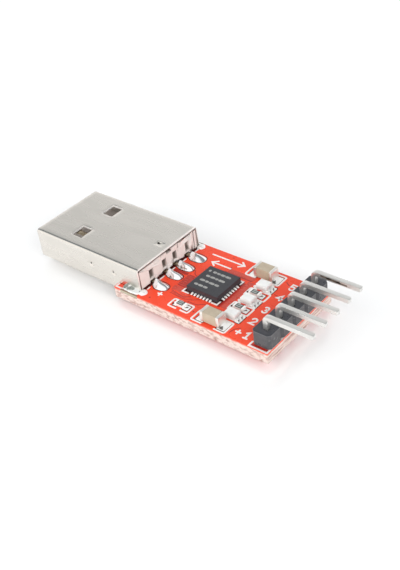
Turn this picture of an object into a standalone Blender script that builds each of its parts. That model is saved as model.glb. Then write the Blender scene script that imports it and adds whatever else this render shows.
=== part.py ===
"""A USB to serial adapter module: a small red circuit board that holds a USB A plug at one end and a
right-angle row of header pins at the other, with one chip, two capacitors, three lights and three
resistors between them.

Metres, +Z up. X runs from the plug's mouth to the tips of the pins, and Y across the board. X = Y = 0
is the middle of the whole module, and Z = 0 is the level of the lowest pin tails.
"""

import math

import bmesh
import bpy
from mathutils import Vector

# Clearances between pieces
SEAT_GAP = 0.00003
SLIP_FIT = 0.00005

# Plug shell, one folded steel sheet
SHELL_LENGTH = 0.0195
SHELL_WIDTH = 0.0121
SHELL_HEIGHT = 0.0046
SHELL_SHEET = 0.0003
SHELL_BEND = 0.00045
WINDOW_LENGTH = 0.0020
WINDOW_WIDTH = 0.0024
WINDOW_FROM_MOUTH = 0.0052
WINDOW_PITCH = 0.0061
PLUG_SIDE_SHIFT = 0.00012

# Plug insulator: a block at the rear, and the tongue that carries the contacts
MOUTH_DEPTH = 0.0118
TONGUE_THICKNESS = 0.00195
TONGUE_SETBACK = 0.0006
INSULATOR_SETBACK = 0.00012
SLOT_ROOF = 0.00047

# Plug contacts, counted from the near side
CONTACT_WIDTH = 0.0009
CONTACT_THICKNESS = 0.0003
CONTACT_BEND = 0.0004
CONTACT_BELOW_TONGUE_TOP = 0.0001
INNER_CONTACT_Y = 0.0010
OUTER_CONTACT_Y = 0.0035
INNER_CONTACT_FRONT = 0.0026
OUTER_CONTACT_FRONT = 0.0016
CONTACT_LEG_INSET = 0.0008
FOOT_LENGTH = 0.0020

# Circuit board, with a notch that takes the plug between two arms
BOARD_LENGTH = 0.0250
BOARD_THICKNESS = 0.0016
ARM_WIDTH = 0.0008
NOTCH_DEPTH = 0.0042
NOTCH_CLEARANCE = 0.0001
PLUG_SINK = 0.0013

# Header
PIN_COUNT = 5
PIN_PITCH = 0.00254
PIN_SIDE = 0.00064
PIN_BEND = 0.0006
PIN_TIP_CHAMFER = 0.00015
PIN_OVERHANG = 0.0054
PIN_TAIL = 0.0009
PIN_ABOVE_BLOCK = 0.00133
HEADER_DEPTH = 0.0025
HEADER_HEIGHT = 0.0021
HEADER_CHAMFER = 0.0005
PIN_HOLE_CLEARANCE = 0.00007

# Controller chip, with its solder lands
CHIP_SIDE = 0.0050
CHIP_HEIGHT = 0.00085
CHIP_FROM_NOTCH = 0.00735
LEADS_PER_SIDE = 7
LEAD_PITCH = 0.0005
LEAD_WIDTH = 0.00026
LEAD_REACH = 0.0003
LEAD_HEIGHT = 0.00020

# Chip capacitors
CAPACITOR_LENGTH = 0.0030
CAPACITOR_WIDTH = 0.0016
CAPACITOR_HEIGHT = 0.0016
CAPACITOR_END = 0.0005
NEAR_CAPACITOR_INSET = 0.00135
FAR_CAPACITOR_INSET = 0.0017

# Lights, and the resistors between them
LIGHT_COUNT = 3
LIGHT_LENGTH = 0.0022
LIGHT_WIDTH = 0.0014
LIGHT_BASE_HEIGHT = 0.0003
LIGHT_LENS_HEIGHT = 0.0005
LIGHT_LENS_LENGTH = 0.0018
LIGHT_LENS_SLOPE = 0.00007
LIGHT_END = 0.0003
MIDDLE_LIGHT_Y = -0.00018
LIGHT_PITCH_SHARE = 0.241

RESISTOR_LENGTH = 0.0016
RESISTOR_WIDTH = 0.0008
RESISTOR_HEIGHT = 0.00045
RESISTOR_END = 0.0003
LONE_RESISTOR_FROM_NOTCH = 0.0062
LONE_RESISTOR_INSET = 0.00165

# Stations of the small parts, as shares of the way from the chip's lands to the header
NEAR_CAPACITOR_SHARE = 0.190
FAR_CAPACITOR_SHARE = 0.215
LIGHT_SHARE = 0.362
RESISTOR_SHARE = 0.337

# Solder
CONTACT_SOLDER_SETBACK = 0.0001
CONTACT_SOLDER_END = 0.0030
CONTACT_SOLDER_WIDTH = 0.0016
CONTACT_SOLDER_HEIGHT = 0.00055
SHELL_SOLDER_HEIGHT = 0.00045
SHELL_SOLDER_FRONT = 0.0027
SHELL_SOLDER_BEHIND = 0.0006
SHELL_SOLDER_CORNER = 0.0007
SOLDER_ROUNDING = 0.0002
PIN_SOLDER_RADIUS = 0.00085
PIN_SOLDER_TIP_WALL = 0.0001
PIN_SOLDER_HEIGHT = 0.00055

# Rounding of small edges, and how finely round forms are cut
EDGE_BEVEL = 0.00006
BEND_STEPS = 4
ROUND_SIDES = 16
SHARP_ANGLE = math.radians(35)
SAME_LEVEL = 0.000001

# Levels and stations that follow from the sizes above
BOARD_BOTTOM = PIN_TAIL
BOARD_TOP = BOARD_BOTTOM + BOARD_THICKNESS
SHELL_BOTTOM = BOARD_TOP - PLUG_SINK
SHELL_MIDDLE_Z = SHELL_BOTTOM + SHELL_HEIGHT / 2
TONGUE_TOP = SHELL_BOTTOM + SHELL_SHEET + TONGUE_THICKNESS
SLOT_TOP = SHELL_BOTTOM + SHELL_HEIGHT - SHELL_SHEET - SEAT_GAP - SLOT_ROOF
ON_BOARD = BOARD_TOP + SEAT_GAP

BOARD_FRONT_FROM_MOUTH = SHELL_LENGTH + NOTCH_CLEARANCE - NOTCH_DEPTH
OVERALL_LENGTH = BOARD_FRONT_FROM_MOUTH + BOARD_LENGTH + PIN_OVERHANG
MOUTH_X = -OVERALL_LENGTH / 2
SHELL_REAR_X = MOUTH_X + SHELL_LENGTH
INSULATOR_REAR_X = SHELL_REAR_X - INSULATOR_SETBACK
BOARD_FRONT_X = MOUTH_X + BOARD_FRONT_FROM_MOUTH
BOARD_END_X = BOARD_FRONT_X + BOARD_LENGTH
NOTCH_X = BOARD_FRONT_X + NOTCH_DEPTH
NOTCH_WIDTH = SHELL_WIDTH + 2 * NOTCH_CLEARANCE
BOARD_WIDTH = NOTCH_WIDTH + 2 * ARM_WIDTH
HEADER_X = BOARD_END_X - HEADER_DEPTH / 2
HEADER_TOP = ON_BOARD + HEADER_HEIGHT
PIN_ARM_Z = HEADER_TOP + PIN_ABOVE_BLOCK + PIN_SIDE / 2
PIN_TIP_X = BOARD_END_X + PIN_OVERHANG
PIN_HOLE_RADIUS = PIN_SIDE / math.sqrt(2) + PIN_HOLE_CLEARANCE
HEADER_SLOT = PIN_SIDE + 2 * SLIP_FIT
PIN_SOLDER_TIP_RADIUS = HEADER_SLOT / math.sqrt(2) + PIN_SOLDER_TIP_WALL
CHIP_X = NOTCH_X + CHIP_FROM_NOTCH
CHIP_TIPS_X = CHIP_X + CHIP_SIDE / 2 + LEAD_REACH
HEADER_FRONT_X = BOARD_END_X - HEADER_DEPTH
LIGHT_PITCH = LIGHT_PITCH_SHARE * BOARD_WIDTH


def clear_scene():
    """Remove every object, so that the script starts from an empty scene."""
    for thing in list(bpy.data.objects):
        bpy.data.objects.remove(thing, do_unlink=True)


def finish(name, colour, roughness, metallic=0.0):
    """A plain Principled material."""
    surface = bpy.data.materials.new(name)
    surface.use_nodes = True
    shader = surface.node_tree.nodes["Principled BSDF"]
    shader.inputs["Base Color"].default_value = (*colour, 1.0)
    shader.inputs["Roughness"].default_value = roughness
    shader.inputs["Metallic"].default_value = metallic
    return surface


def place(name, form, surface, location=(0.0, 0.0, 0.0), parent=None):
    """Turn a bmesh into a named object with one material, at its place on the module."""
    mesh = bpy.data.meshes.new(name)
    bmesh.ops.recalc_face_normals(form, faces=form.faces)
    form.to_mesh(mesh)
    form.free()
    thing = bpy.data.objects.new(name, mesh)
    bpy.context.scene.collection.objects.link(thing)
    thing.location = location
    thing.parent = parent
    if surface is not None:
        mesh.materials.append(surface)
    mesh.shade_smooth()
    mesh.set_sharp_from_angle(angle=SHARP_ANGLE)
    return thing


def add_box(form, low, high):
    """Add a closed box between two corners to a form."""
    for vertex in bmesh.ops.create_cube(form, size=1.0)["verts"]:
        for axis in range(3):
            vertex.co[axis] = high[axis] if vertex.co[axis] > 0 else low[axis]


def box(low, high):
    """A closed box between two corners."""
    form = bmesh.new()
    add_box(form, low, high)
    return form


def prism(outline, start, end):
    """Extrude a closed outline of 3D points that lie in one plane by the step from start to end."""
    form = bmesh.new()
    base = form.faces.new([form.verts.new(Vector(point) + Vector(start)) for point in outline])
    moved = bmesh.ops.extrude_face_region(form, geom=[base])["geom"]
    corners = [item for item in moved if isinstance(item, bmesh.types.BMVert)]
    bmesh.ops.translate(form, vec=Vector(end) - Vector(start), verts=corners)
    return form


def upright_prism(outline, low_z, high_z):
    """Extrude an outline of (x, y) points between two levels."""
    return prism([(x, y, 0.0) for x, y in outline], (0, 0, low_z), (0, 0, high_z))


def round_top(form, level, radius, steps):
    """Round the edges that lie at one level of a form."""
    rim = [
        edge
        for edge in form.edges
        if all(abs(vertex.co.z - level) < SAME_LEVEL for vertex in edge.verts)
    ]
    bmesh.ops.bevel(
        form, geom=rim, offset=radius, segments=steps, profile=0.5, affect="EDGES", clamp_overlap=True
    )


def rounded_rectangle(width, height, radius, steps):
    """Points (y, z) of a rectangle with round corners about its middle, counter-clockwise."""
    points = []
    for turn, (side, top) in enumerate(((1, 1), (-1, 1), (-1, -1), (1, -1))):
        centre_y = side * (width / 2 - radius)
        centre_z = top * (height / 2 - radius)
        for step in range(steps + 1):
            angle = math.pi / 2 * (turn + step / steps)
            points.append((centre_y + radius * math.cos(angle), centre_z + radius * math.sin(angle)))
    return points


def filleted(points, radius, steps):
    """Replace each inner corner of an (x, z) path by an arc of the given radius."""
    path = [Vector(points[0])]
    for before, corner, after in zip(points, points[1:], points[2:]):
        corner = Vector(corner)
        inward = (Vector(before) - corner).normalized()
        onward = (Vector(after) - corner).normalized()
        start = corner + inward * radius
        centre = start + onward * radius
        for step in range(steps + 1):
            angle = math.pi / 2 * step / steps
            path.append(centre - onward * radius * math.cos(angle) - inward * radius * math.sin(angle))
    path.append(Vector(points[-1]))
    return path


def bent_bar(path, width, thickness, tip=0.0):
    """Carry a rectangular section along an (x, z) path, with its ends tapered over the length tip."""
    stations = [(point, 1.0) for point in path]
    if tip > 0.0:
        first = (path[1] - path[0]).normalized() * tip
        last = (path[-2] - path[-1]).normalized() * tip
        taper = 1.0 - tip / thickness
        stations = [(path[0], taper), (path[0] + first, 1.0)] + stations[1:-1]
        stations += [(path[-1] + last, 1.0), (path[-1], taper)]
    form = bmesh.new()
    rings = []
    for index, (point, scale) in enumerate(stations):
        ahead = stations[min(index + 1, len(stations) - 1)][0]
        behind = stations[max(index - 1, 0)][0]
        along = (ahead - behind).normalized()
        across = Vector((-along.y, along.x)) * thickness / 2 * scale
        side = width / 2 * scale
        corners = ((across, -side), (across, side), (-across, side), (-across, -side))
        rings.append([form.verts.new((point.x + a.x, y, point.y + a.y)) for a, y in corners])
    for near, far in zip(rings, rings[1:]):
        for index in range(4):
            after = (index + 1) % 4
            form.faces.new((near[index], near[after], far[after], far[index]))
    form.faces.new(rings[0])
    form.faces.new(rings[-1])
    return form


def cutter(name, form, parent):
    """A guide solid for a Boolean, hidden and left out of the model."""
    thing = place(name, form, None, parent=parent)
    thing.hide_render = True
    thing.display_type = "WIRE"
    return thing


def cut(target, tool, operation="DIFFERENCE"):
    """Subtract or add a guide solid."""
    step = target.modifiers.new(tool.name, "BOOLEAN")
    step.object = tool
    step.operation = operation
    step.solver = "EXACT"


def contact_stations():
    """The side place and the front end of each contact, from the near side to the far side."""
    return (
        (PLUG_SIDE_SHIFT - OUTER_CONTACT_Y, OUTER_CONTACT_FRONT),
        (PLUG_SIDE_SHIFT - INNER_CONTACT_Y, INNER_CONTACT_FRONT),
        (PLUG_SIDE_SHIFT + INNER_CONTACT_Y, INNER_CONTACT_FRONT),
        (PLUG_SIDE_SHIFT + OUTER_CONTACT_Y, OUTER_CONTACT_FRONT),
    )


def pin_places():
    """The side place of each header pin, from the near side to the far side."""
    return [(index - (PIN_COUNT - 1) / 2) * PIN_PITCH for index in range(PIN_COUNT)]


def station(share):
    """The X of a point at a share of the way from the chip's lands to the header."""
    return CHIP_TIPS_X + share * (HEADER_FRONT_X - CHIP_TIPS_X)


def make_shell(steel, module):
    """The folded sheet around the plug: a rounded tube with two latch windows above and two below."""
    section = rounded_rectangle(SHELL_WIDTH, SHELL_HEIGHT, SHELL_BEND, BEND_STEPS)
    form = bmesh.new()
    rings = [[form.verts.new((x, y, z)) for y, z in section] for x in (0.0, SHELL_LENGTH)]
    for index in range(len(section)):
        after = (index + 1) % len(section)
        form.faces.new((rings[0][index], rings[0][after], rings[1][after], rings[1][index]))
    shell = place("usb_shell", form, steel, (MOUTH_X, PLUG_SIDE_SHIFT, SHELL_MIDDLE_Z), module)
    wall = shell.modifiers.new("sheet", "SOLIDIFY")
    wall.thickness = SHELL_SHEET
    wall.offset = -1.0
    wall.use_even_offset = True

    windows = bmesh.new()
    for side in (-1, 1):
        middle = PLUG_SIDE_SHIFT + side * WINDOW_PITCH / 2
        for level in (SHELL_BOTTOM, SHELL_BOTTOM + SHELL_HEIGHT):
            add_box(
                windows,
                (MOUTH_X + WINDOW_FROM_MOUTH, middle - WINDOW_WIDTH / 2, level - 2 * SHELL_SHEET),
                (
                    MOUTH_X + WINDOW_FROM_MOUTH + WINDOW_LENGTH,
                    middle + WINDOW_WIDTH / 2,
                    level + 2 * SHELL_SHEET,
                ),
            )
    cut(shell, cutter("window_cutter", windows, module))


def blade_middle_z():
    """The level of a contact's blade, at the middle of its thickness."""
    return TONGUE_TOP - CONTACT_BELOW_TONGUE_TOP - CONTACT_THICKNESS / 2


def leg_x():
    """The station of a contact's upright leg, at the middle of its thickness."""
    return INSULATOR_REAR_X - CONTACT_LEG_INSET


def make_insulator(plastic, module):
    """The moulded core of the plug: a rear block with a tongue, slotted for the four contacts."""
    inset = 2 * (SHELL_SHEET + SEAT_GAP)
    section = rounded_rectangle(
        SHELL_WIDTH - inset, SHELL_HEIGHT - inset, SHELL_BEND - SHELL_SHEET, BEND_STEPS
    )
    form = prism(
        [(0.0, y + PLUG_SIDE_SHIFT, z + SHELL_MIDDLE_Z) for y, z in section],
        (MOUTH_X + TONGUE_SETBACK, 0, 0),
        (INSULATOR_REAR_X, 0, 0),
    )
    core = place("usb_insulator", form, plastic, parent=module)
    mouth = box(
        (MOUTH_X - SHELL_SHEET, -SHELL_WIDTH, TONGUE_TOP),
        (MOUTH_X + MOUTH_DEPTH, SHELL_WIDTH, TONGUE_TOP + SHELL_HEIGHT),
    )
    cut(core, cutter("mouth_cutter", mouth, module))

    blade_floor = blade_middle_z() - CONTACT_THICKNESS / 2 - SLIP_FIT
    step_x = leg_x() - CONTACT_THICKNESS / 2 - SLIP_FIT
    foot_floor = BOARD_TOP - SLIP_FIT
    behind = INSULATOR_REAR_X + NOTCH_CLEARANCE
    for index, (middle, front) in enumerate(contact_stations(), 1):
        channel = (
            (MOUTH_X + front - SLIP_FIT, blade_floor),
            (step_x, blade_floor),
            (step_x, foot_floor),
            (behind, foot_floor),
            (behind, SLOT_TOP),
            (MOUTH_X + front - SLIP_FIT, SLOT_TOP),
        )
        half = CONTACT_WIDTH / 2 + SLIP_FIT
        form = prism([(x, 0.0, z) for x, z in channel], (0, middle - half, 0), (0, middle + half, 0))
        cut(core, cutter(f"channel_cutter_{index}", form, module))


def make_contacts(gold, module):
    """The four flat springs: a blade on the tongue, a step down, and a foot on the board."""
    blade_z = blade_middle_z()
    foot_z = ON_BOARD + CONTACT_THICKNESS / 2
    bend = min(CONTACT_BEND, (blade_z - foot_z) / 2 - SEAT_GAP)
    for index, (middle, front) in enumerate(contact_stations(), 1):
        corners = (
            (MOUTH_X + front, blade_z),
            (leg_x(), blade_z),
            (leg_x(), foot_z),
            (NOTCH_X + FOOT_LENGTH, foot_z),
        )
        form = bent_bar(filleted(corners, bend, BEND_STEPS), CONTACT_WIDTH, CONTACT_THICKNESS)
        place(f"usb_contact_{index}", form, gold, (0.0, middle, 0.0), module)


def make_board(mask, module):
    """The circuit board: a plate with a notch for the plug and a row of holes for the header."""
    half = BOARD_WIDTH / 2
    notch = NOTCH_WIDTH / 2
    outline = (
        (BOARD_FRONT_X, -half),
        (BOARD_END_X, -half),
        (BOARD_END_X, half),
        (BOARD_FRONT_X, half),
        (BOARD_FRONT_X, PLUG_SIDE_SHIFT + notch),
        (NOTCH_X, PLUG_SIDE_SHIFT + notch),
        (NOTCH_X, PLUG_SIDE_SHIFT - notch),
        (BOARD_FRONT_X, PLUG_SIDE_SHIFT - notch),
    )
    board = place("circuit_board", upright_prism(outline, BOARD_BOTTOM, BOARD_TOP), mask, parent=module)
    holes = bmesh.new()
    for middle in pin_places():
        drill = bmesh.ops.create_cone(
            holes,
            cap_ends=True,
            segments=ROUND_SIDES,
            radius1=PIN_HOLE_RADIUS,
            radius2=PIN_HOLE_RADIUS,
            depth=2 * BOARD_THICKNESS,
        )
        centre = (HEADER_X, middle, (BOARD_BOTTOM + BOARD_TOP) / 2)
        bmesh.ops.translate(holes, vec=centre, verts=drill["verts"])
    cut(board, cutter("drill_cutter", holes, module))


def header_outline():
    """The strip's plan: one eight-sided cell for each pin, joined side by side at their waists."""
    half = HEADER_DEPTH / 2
    waist = half - HEADER_CHAMFER
    start = -PIN_COUNT * PIN_PITCH / 2
    side = []
    for index in range(PIN_COUNT):
        low = start + index * PIN_PITCH
        side.append((waist, low))
        side.append((half, low + HEADER_CHAMFER))
        side.append((half, low + PIN_PITCH - HEADER_CHAMFER))
    side.append((waist, -start))
    return [(HEADER_X + x, y) for x, y in side] + [(HEADER_X - x, y) for x, y in reversed(side)]


def make_header(plastic, metal, module):
    """The moulded strip, and its square pins, each bent over to lie along X past the board's end."""
    strip = place(
        "header_strip", upright_prism(header_outline(), ON_BOARD, HEADER_TOP), plastic, parent=module
    )
    slots = bmesh.new()
    for middle in pin_places():
        add_box(
            slots,
            (HEADER_X - HEADER_SLOT / 2, middle - HEADER_SLOT / 2, BOARD_TOP - HEADER_HEIGHT),
            (HEADER_X + HEADER_SLOT / 2, middle + HEADER_SLOT / 2, HEADER_TOP + HEADER_HEIGHT),
        )
    cut(strip, cutter("pin_slot_cutter", slots, module))

    corners = ((HEADER_X, 0.0), (HEADER_X, PIN_ARM_Z), (PIN_TIP_X, PIN_ARM_Z))
    for index, middle in enumerate(pin_places(), 1):
        path = filleted(corners, PIN_BEND, BEND_STEPS)
        form = bent_bar(path, PIN_SIDE, PIN_SIDE, PIN_TIP_CHAMFER)
        place(f"header_pin_{index}", form, metal, (0.0, middle, 0.0), module)


def turned(point, quarters):
    """A point (x, y) turned about the origin by a number of quarter turns, counter-clockwise."""
    x, y = point
    for _ in range(quarters):
        x, y = -y, x
    return x, y


def make_chip(resin, module):
    """The controller chip: a flat moulded square, with solder lands along all four sides."""
    half = CHIP_SIDE / 2
    tip = half + LEAD_REACH
    side = []
    for index in range(LEADS_PER_SIDE):
        middle = (index - (LEADS_PER_SIDE - 1) / 2) * LEAD_PITCH
        low = middle - LEAD_WIDTH / 2
        high = middle + LEAD_WIDTH / 2
        side += [(half, low), (tip, low), (tip, high), (half, high)]
    side.append((half, half))
    comb = [turned(point, quarters) for quarters in range(4) for point in side]
    lands = upright_prism(comb, 0.0, LEAD_HEIGHT)
    chip = place("controller_chip", lands, resin, (CHIP_X, 0.0, ON_BOARD), module)
    body_half = half - EDGE_BEVEL / 2
    body = box((-body_half, -body_half, LEAD_HEIGHT / 2), (body_half, body_half, CHIP_HEIGHT))
    round_top(body, CHIP_HEIGHT, EDGE_BEVEL, 1)
    guide = cutter("chip_body_guide", body, module)
    guide.location = (CHIP_X, 0.0, ON_BOARD)
    cut(chip, guide, "UNION")


def make_brick(name, middle, size, end, body_surface, end_surface, module):
    """A chip component: a body along X between two metal ends, standing on the board."""
    length, width, height = size
    x, y = middle
    body_half = length / 2 - end - SEAT_GAP
    inset = EDGE_BEVEL / 2
    body = box((-body_half, -width / 2 + inset, 0.0), (body_half, width / 2 - inset, height - inset))
    place(f"{name}_body", body, body_surface, (x, y, ON_BOARD), module)
    for number, side in enumerate((-1, 1), 1):
        low_x = min(side * (length / 2 - end), side * length / 2)
        cap = box((low_x, -width / 2, 0.0), (low_x + end, width / 2, height))
        round_top(cap, height, EDGE_BEVEL, 2)
        place(f"{name}_end_{number}", cap, end_surface, (x, y, ON_BOARD), module)


def make_capacitors(ceramic, tin, module):
    """The two large chip capacitors, one near each long edge of the board."""
    size = (CAPACITOR_LENGTH, CAPACITOR_WIDTH, CAPACITOR_HEIGHT)
    near = (station(NEAR_CAPACITOR_SHARE), NEAR_CAPACITOR_INSET - BOARD_WIDTH / 2)
    far = (station(FAR_CAPACITOR_SHARE), BOARD_WIDTH / 2 - FAR_CAPACITOR_INSET)
    for name, middle in (("near_capacitor", near), ("far_capacitor", far)):
        make_brick(name, middle, size, CAPACITOR_END, ceramic, tin, module)


def make_resistors(glaze, tin, module):
    """Two resistors between the lights, and a lone one beside the chip."""
    size = (RESISTOR_LENGTH, RESISTOR_WIDTH, RESISTOR_HEIGHT)
    places = [
        (station(RESISTOR_SHARE), MIDDLE_LIGHT_Y - LIGHT_PITCH / 2),
        (station(RESISTOR_SHARE), MIDDLE_LIGHT_Y + LIGHT_PITCH / 2),
        (NOTCH_X + LONE_RESISTOR_FROM_NOTCH, LONE_RESISTOR_INSET - BOARD_WIDTH / 2),
    ]
    for index, middle in enumerate(places, 1):
        make_brick(f"resistor_{index}", middle, size, RESISTOR_END, glaze, tin, module)


def make_light(name, middle, base_surface, lens_surface, tin, module):
    """One light: a thin base between two terminals, with a block of clear resin on it."""
    x, y = middle
    half_width = LIGHT_WIDTH / 2
    base_half = LIGHT_LENGTH / 2 - LIGHT_END - SEAT_GAP
    base = box((-base_half, -half_width, 0.0), (base_half, half_width, LIGHT_BASE_HEIGHT))
    place(f"{name}_base", base, base_surface, (x, y, ON_BOARD), module)

    lens_half = LIGHT_LENS_LENGTH / 2
    foot = LIGHT_BASE_HEIGHT + SEAT_GAP
    lens = box((-lens_half, -half_width, 0.0), (lens_half, half_width, LIGHT_LENS_HEIGHT))
    for vertex in lens.verts:
        if vertex.co.z > 0.0:
            vertex.co.x -= math.copysign(LIGHT_LENS_SLOPE, vertex.co.x)
            vertex.co.y -= math.copysign(LIGHT_LENS_SLOPE, vertex.co.y)
    round_top(lens, LIGHT_LENS_HEIGHT, EDGE_BEVEL, 2)
    place(f"{name}_lens", lens, lens_surface, (x, y, ON_BOARD + foot), module)

    for number, side in enumerate((-1, 1), 1):
        low_x = min(side * (LIGHT_LENGTH / 2 - LIGHT_END), side * LIGHT_LENGTH / 2)
        end = box((low_x, -half_width, 0.0), (low_x + LIGHT_END, half_width, LIGHT_BASE_HEIGHT))
        place(f"{name}_terminal_{number}", end, tin, (x, y, ON_BOARD), module)


def make_lights(base_surface, lens_surface, tin, module):
    """The column of lights beside the header."""
    for index in range(LIGHT_COUNT):
        middle_y = MIDDLE_LIGHT_Y + (index - (LIGHT_COUNT - 1) / 2) * LIGHT_PITCH
        middle = (station(LIGHT_SHARE), middle_y)
        make_light(f"light_{index + 1}", middle, base_surface, lens_surface, tin, module)


def make_contact_solder(solder, module):
    """A round-ended mound over the foot of each contact."""
    half = CONTACT_SOLDER_WIDTH / 2
    turn = CONTACT_SOLDER_END - half
    outline = [(CONTACT_SOLDER_SETBACK, half), (CONTACT_SOLDER_SETBACK, -half)]
    for step in range(2 * BEND_STEPS + 1):
        angle = math.pi * (step / (2 * BEND_STEPS) - 0.5)
        outline.append((turn + half * math.cos(angle), half * math.sin(angle)))
    for index, (middle, _) in enumerate(contact_stations(), 1):
        mound = upright_prism(outline, 0.0, CONTACT_SOLDER_HEIGHT)
        round_top(mound, CONTACT_SOLDER_HEIGHT, SOLDER_ROUNDING, 2)
        blob = place(f"contact_solder_{index}", mound, solder, (NOTCH_X, middle, ON_BOARD), module)
        side = CONTACT_WIDTH / 2 + SEAT_GAP
        foot = box(
            (NOTCH_X - NOTCH_CLEARANCE, middle - side, BOARD_TOP - SEAT_GAP),
            (
                NOTCH_X + FOOT_LENGTH + SEAT_GAP,
                middle + side,
                ON_BOARD + CONTACT_THICKNESS + SEAT_GAP,
            ),
        )
        cut(blob, cutter(f"foot_cutter_{index}", foot, module))


def make_shell_solder(solder, module):
    """A bead on each arm of the board, along the shell and round its rear corner."""
    front = SHELL_REAR_X - SHELL_SOLDER_FRONT
    behind = NOTCH_X + SEAT_GAP
    end = NOTCH_X + SHELL_SOLDER_BEHIND
    for name, side in (("near", -1), ("far", 1)):
        inner = PLUG_SIDE_SHIFT + side * (SHELL_WIDTH / 2 + SEAT_GAP)
        outer = side * (BOARD_WIDTH / 2 - SEAT_GAP)
        corner = PLUG_SIDE_SHIFT + side * (SHELL_WIDTH / 2 - SHELL_SOLDER_CORNER)
        outline = (
            (front, inner),
            (front, outer),
            (end, outer),
            (end, corner),
            (behind, corner),
            (behind, inner),
        )
        bead = upright_prism(outline, ON_BOARD, ON_BOARD + SHELL_SOLDER_HEIGHT)
        round_top(bead, ON_BOARD + SHELL_SOLDER_HEIGHT, SOLDER_ROUNDING, 2)
        place(f"shell_solder_{name}", bead, solder, parent=module)


def make_pin_solder(solder, module):
    """A cone of solder round each pin, under the board."""
    for index, middle in enumerate(pin_places(), 1):
        form = bmesh.new()
        bmesh.ops.create_cone(
            form,
            cap_ends=True,
            segments=ROUND_SIDES,
            radius1=PIN_SOLDER_TIP_RADIUS,
            radius2=PIN_SOLDER_RADIUS,
            depth=PIN_SOLDER_HEIGHT,
        )
        level = BOARD_BOTTOM - SEAT_GAP - PIN_SOLDER_HEIGHT / 2
        cone = place(f"pin_solder_{index}", form, solder, (HEADER_X, middle, level), module)
        half = HEADER_SLOT / 2
        bore = box(
            (HEADER_X - half, middle - half, BOARD_BOTTOM - 2 * PIN_SOLDER_HEIGHT),
            (HEADER_X + half, middle + half, BOARD_TOP),
        )
        cut(cone, cutter(f"pin_bore_cutter_{index}", bore, module))


def main():
    """Build the whole module."""
    clear_scene()
    module = bpy.data.objects.new("module", None)
    bpy.context.scene.collection.objects.link(module)

    steel = finish("nickel_plated_steel", (0.62, 0.61, 0.59), 0.28, 1.0)
    gold = finish("gilt_contact", (0.80, 0.68, 0.42), 0.25, 1.0)
    tin = finish("tin_plate", (0.78, 0.77, 0.74), 0.35, 1.0)
    solder = finish("solder", (0.80, 0.80, 0.80), 0.2, 1.0)
    mask = finish("red_solder_mask", (0.82, 0.07, 0.03), 0.35)
    cream = finish("cream_plastic", (0.83, 0.71, 0.66), 0.5)
    black = finish("black_plastic", (0.045, 0.045, 0.05), 0.5)
    resin = finish("chip_resin", (0.06, 0.06, 0.07), 0.55)
    ceramic = finish("tan_ceramic", (0.50, 0.40, 0.28), 0.5)
    glaze = finish("resistor_glaze", (0.04, 0.04, 0.045), 0.3)
    white = finish("light_base", (0.85, 0.86, 0.82), 0.5)
    lens = finish("light_lens", (0.80, 0.84, 0.76), 0.2)

    make_shell(steel, module)
    make_insulator(cream, module)
    make_contacts(gold, module)
    make_board(mask, module)
    make_header(black, tin, module)
    make_chip(resin, module)
    make_capacitors(ceramic, tin, module)
    make_resistors(glaze, tin, module)
    make_lights(white, lens, tin, module)
    make_contact_solder(solder, module)
    make_shell_solder(solder, module)
    make_pin_solder(solder, module)


main()
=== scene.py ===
# %% [markdown]
# A USB to serial adapter module, dressed for a studio photograph.
#
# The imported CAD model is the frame. It fixes every size and place. This script gives each piece
# the surface of the real one: rolled steel, moulded plastic, solder mask, ink, solder and ceramic.
#
# The module is small, so all lengths in the arrays are millimetres. One function turns them to
# metres when it writes a mesh.

import bmesh
import bpy
import numpy as np
from mathutils import Matrix, Vector
from mathutils.geometry import tessellate_polygon


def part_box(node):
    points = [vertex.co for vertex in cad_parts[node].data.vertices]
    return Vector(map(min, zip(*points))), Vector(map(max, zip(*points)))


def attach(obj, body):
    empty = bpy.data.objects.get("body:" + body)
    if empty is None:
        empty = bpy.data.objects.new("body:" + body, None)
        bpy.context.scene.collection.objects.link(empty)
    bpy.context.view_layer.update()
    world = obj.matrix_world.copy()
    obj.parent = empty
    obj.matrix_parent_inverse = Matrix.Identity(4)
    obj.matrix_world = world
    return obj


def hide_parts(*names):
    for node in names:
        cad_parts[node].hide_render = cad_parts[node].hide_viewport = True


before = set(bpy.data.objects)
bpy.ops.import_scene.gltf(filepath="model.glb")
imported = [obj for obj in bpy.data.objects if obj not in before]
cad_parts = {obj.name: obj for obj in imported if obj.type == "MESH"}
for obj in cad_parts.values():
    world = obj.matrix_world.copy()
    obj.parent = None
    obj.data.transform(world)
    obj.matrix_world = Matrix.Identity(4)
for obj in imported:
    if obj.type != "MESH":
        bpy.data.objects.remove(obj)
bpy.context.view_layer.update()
MM = 0.001


def corners(node):
    """The lowest and highest corner of a CAD node, in millimetres."""
    low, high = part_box(node)
    return np.array(low) / MM, np.array(high) / MM


def middle_of(node):
    """The middle of a CAD node, in millimetres."""
    low, high = corners(node)
    return (low + high) / 2


print("CAD nodes:", len(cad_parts))

# %% [markdown]
# The camera stands off the pin end, to the near side, and looks down at the board. A photographer
# would set its height and turn by eye. Here both come from fitting known sizes to the photograph:
# a long lens, close in, turned a few degrees about its own axis.

# %% Set up the camera
CAMERA_PLACE = np.array((64.05, -65.165, 69.35))
CAMERA_AZIMUTH = np.radians(43.849)
CAMERA_ELEVATION = np.radians(36.804)
CAMERA_ROLL = np.radians(-7.606)
CAMERA_LENS = 54.03
CAMERA_SHIFT_X = 0.0012
CAMERA_CLIP_START = 0.005


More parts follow.
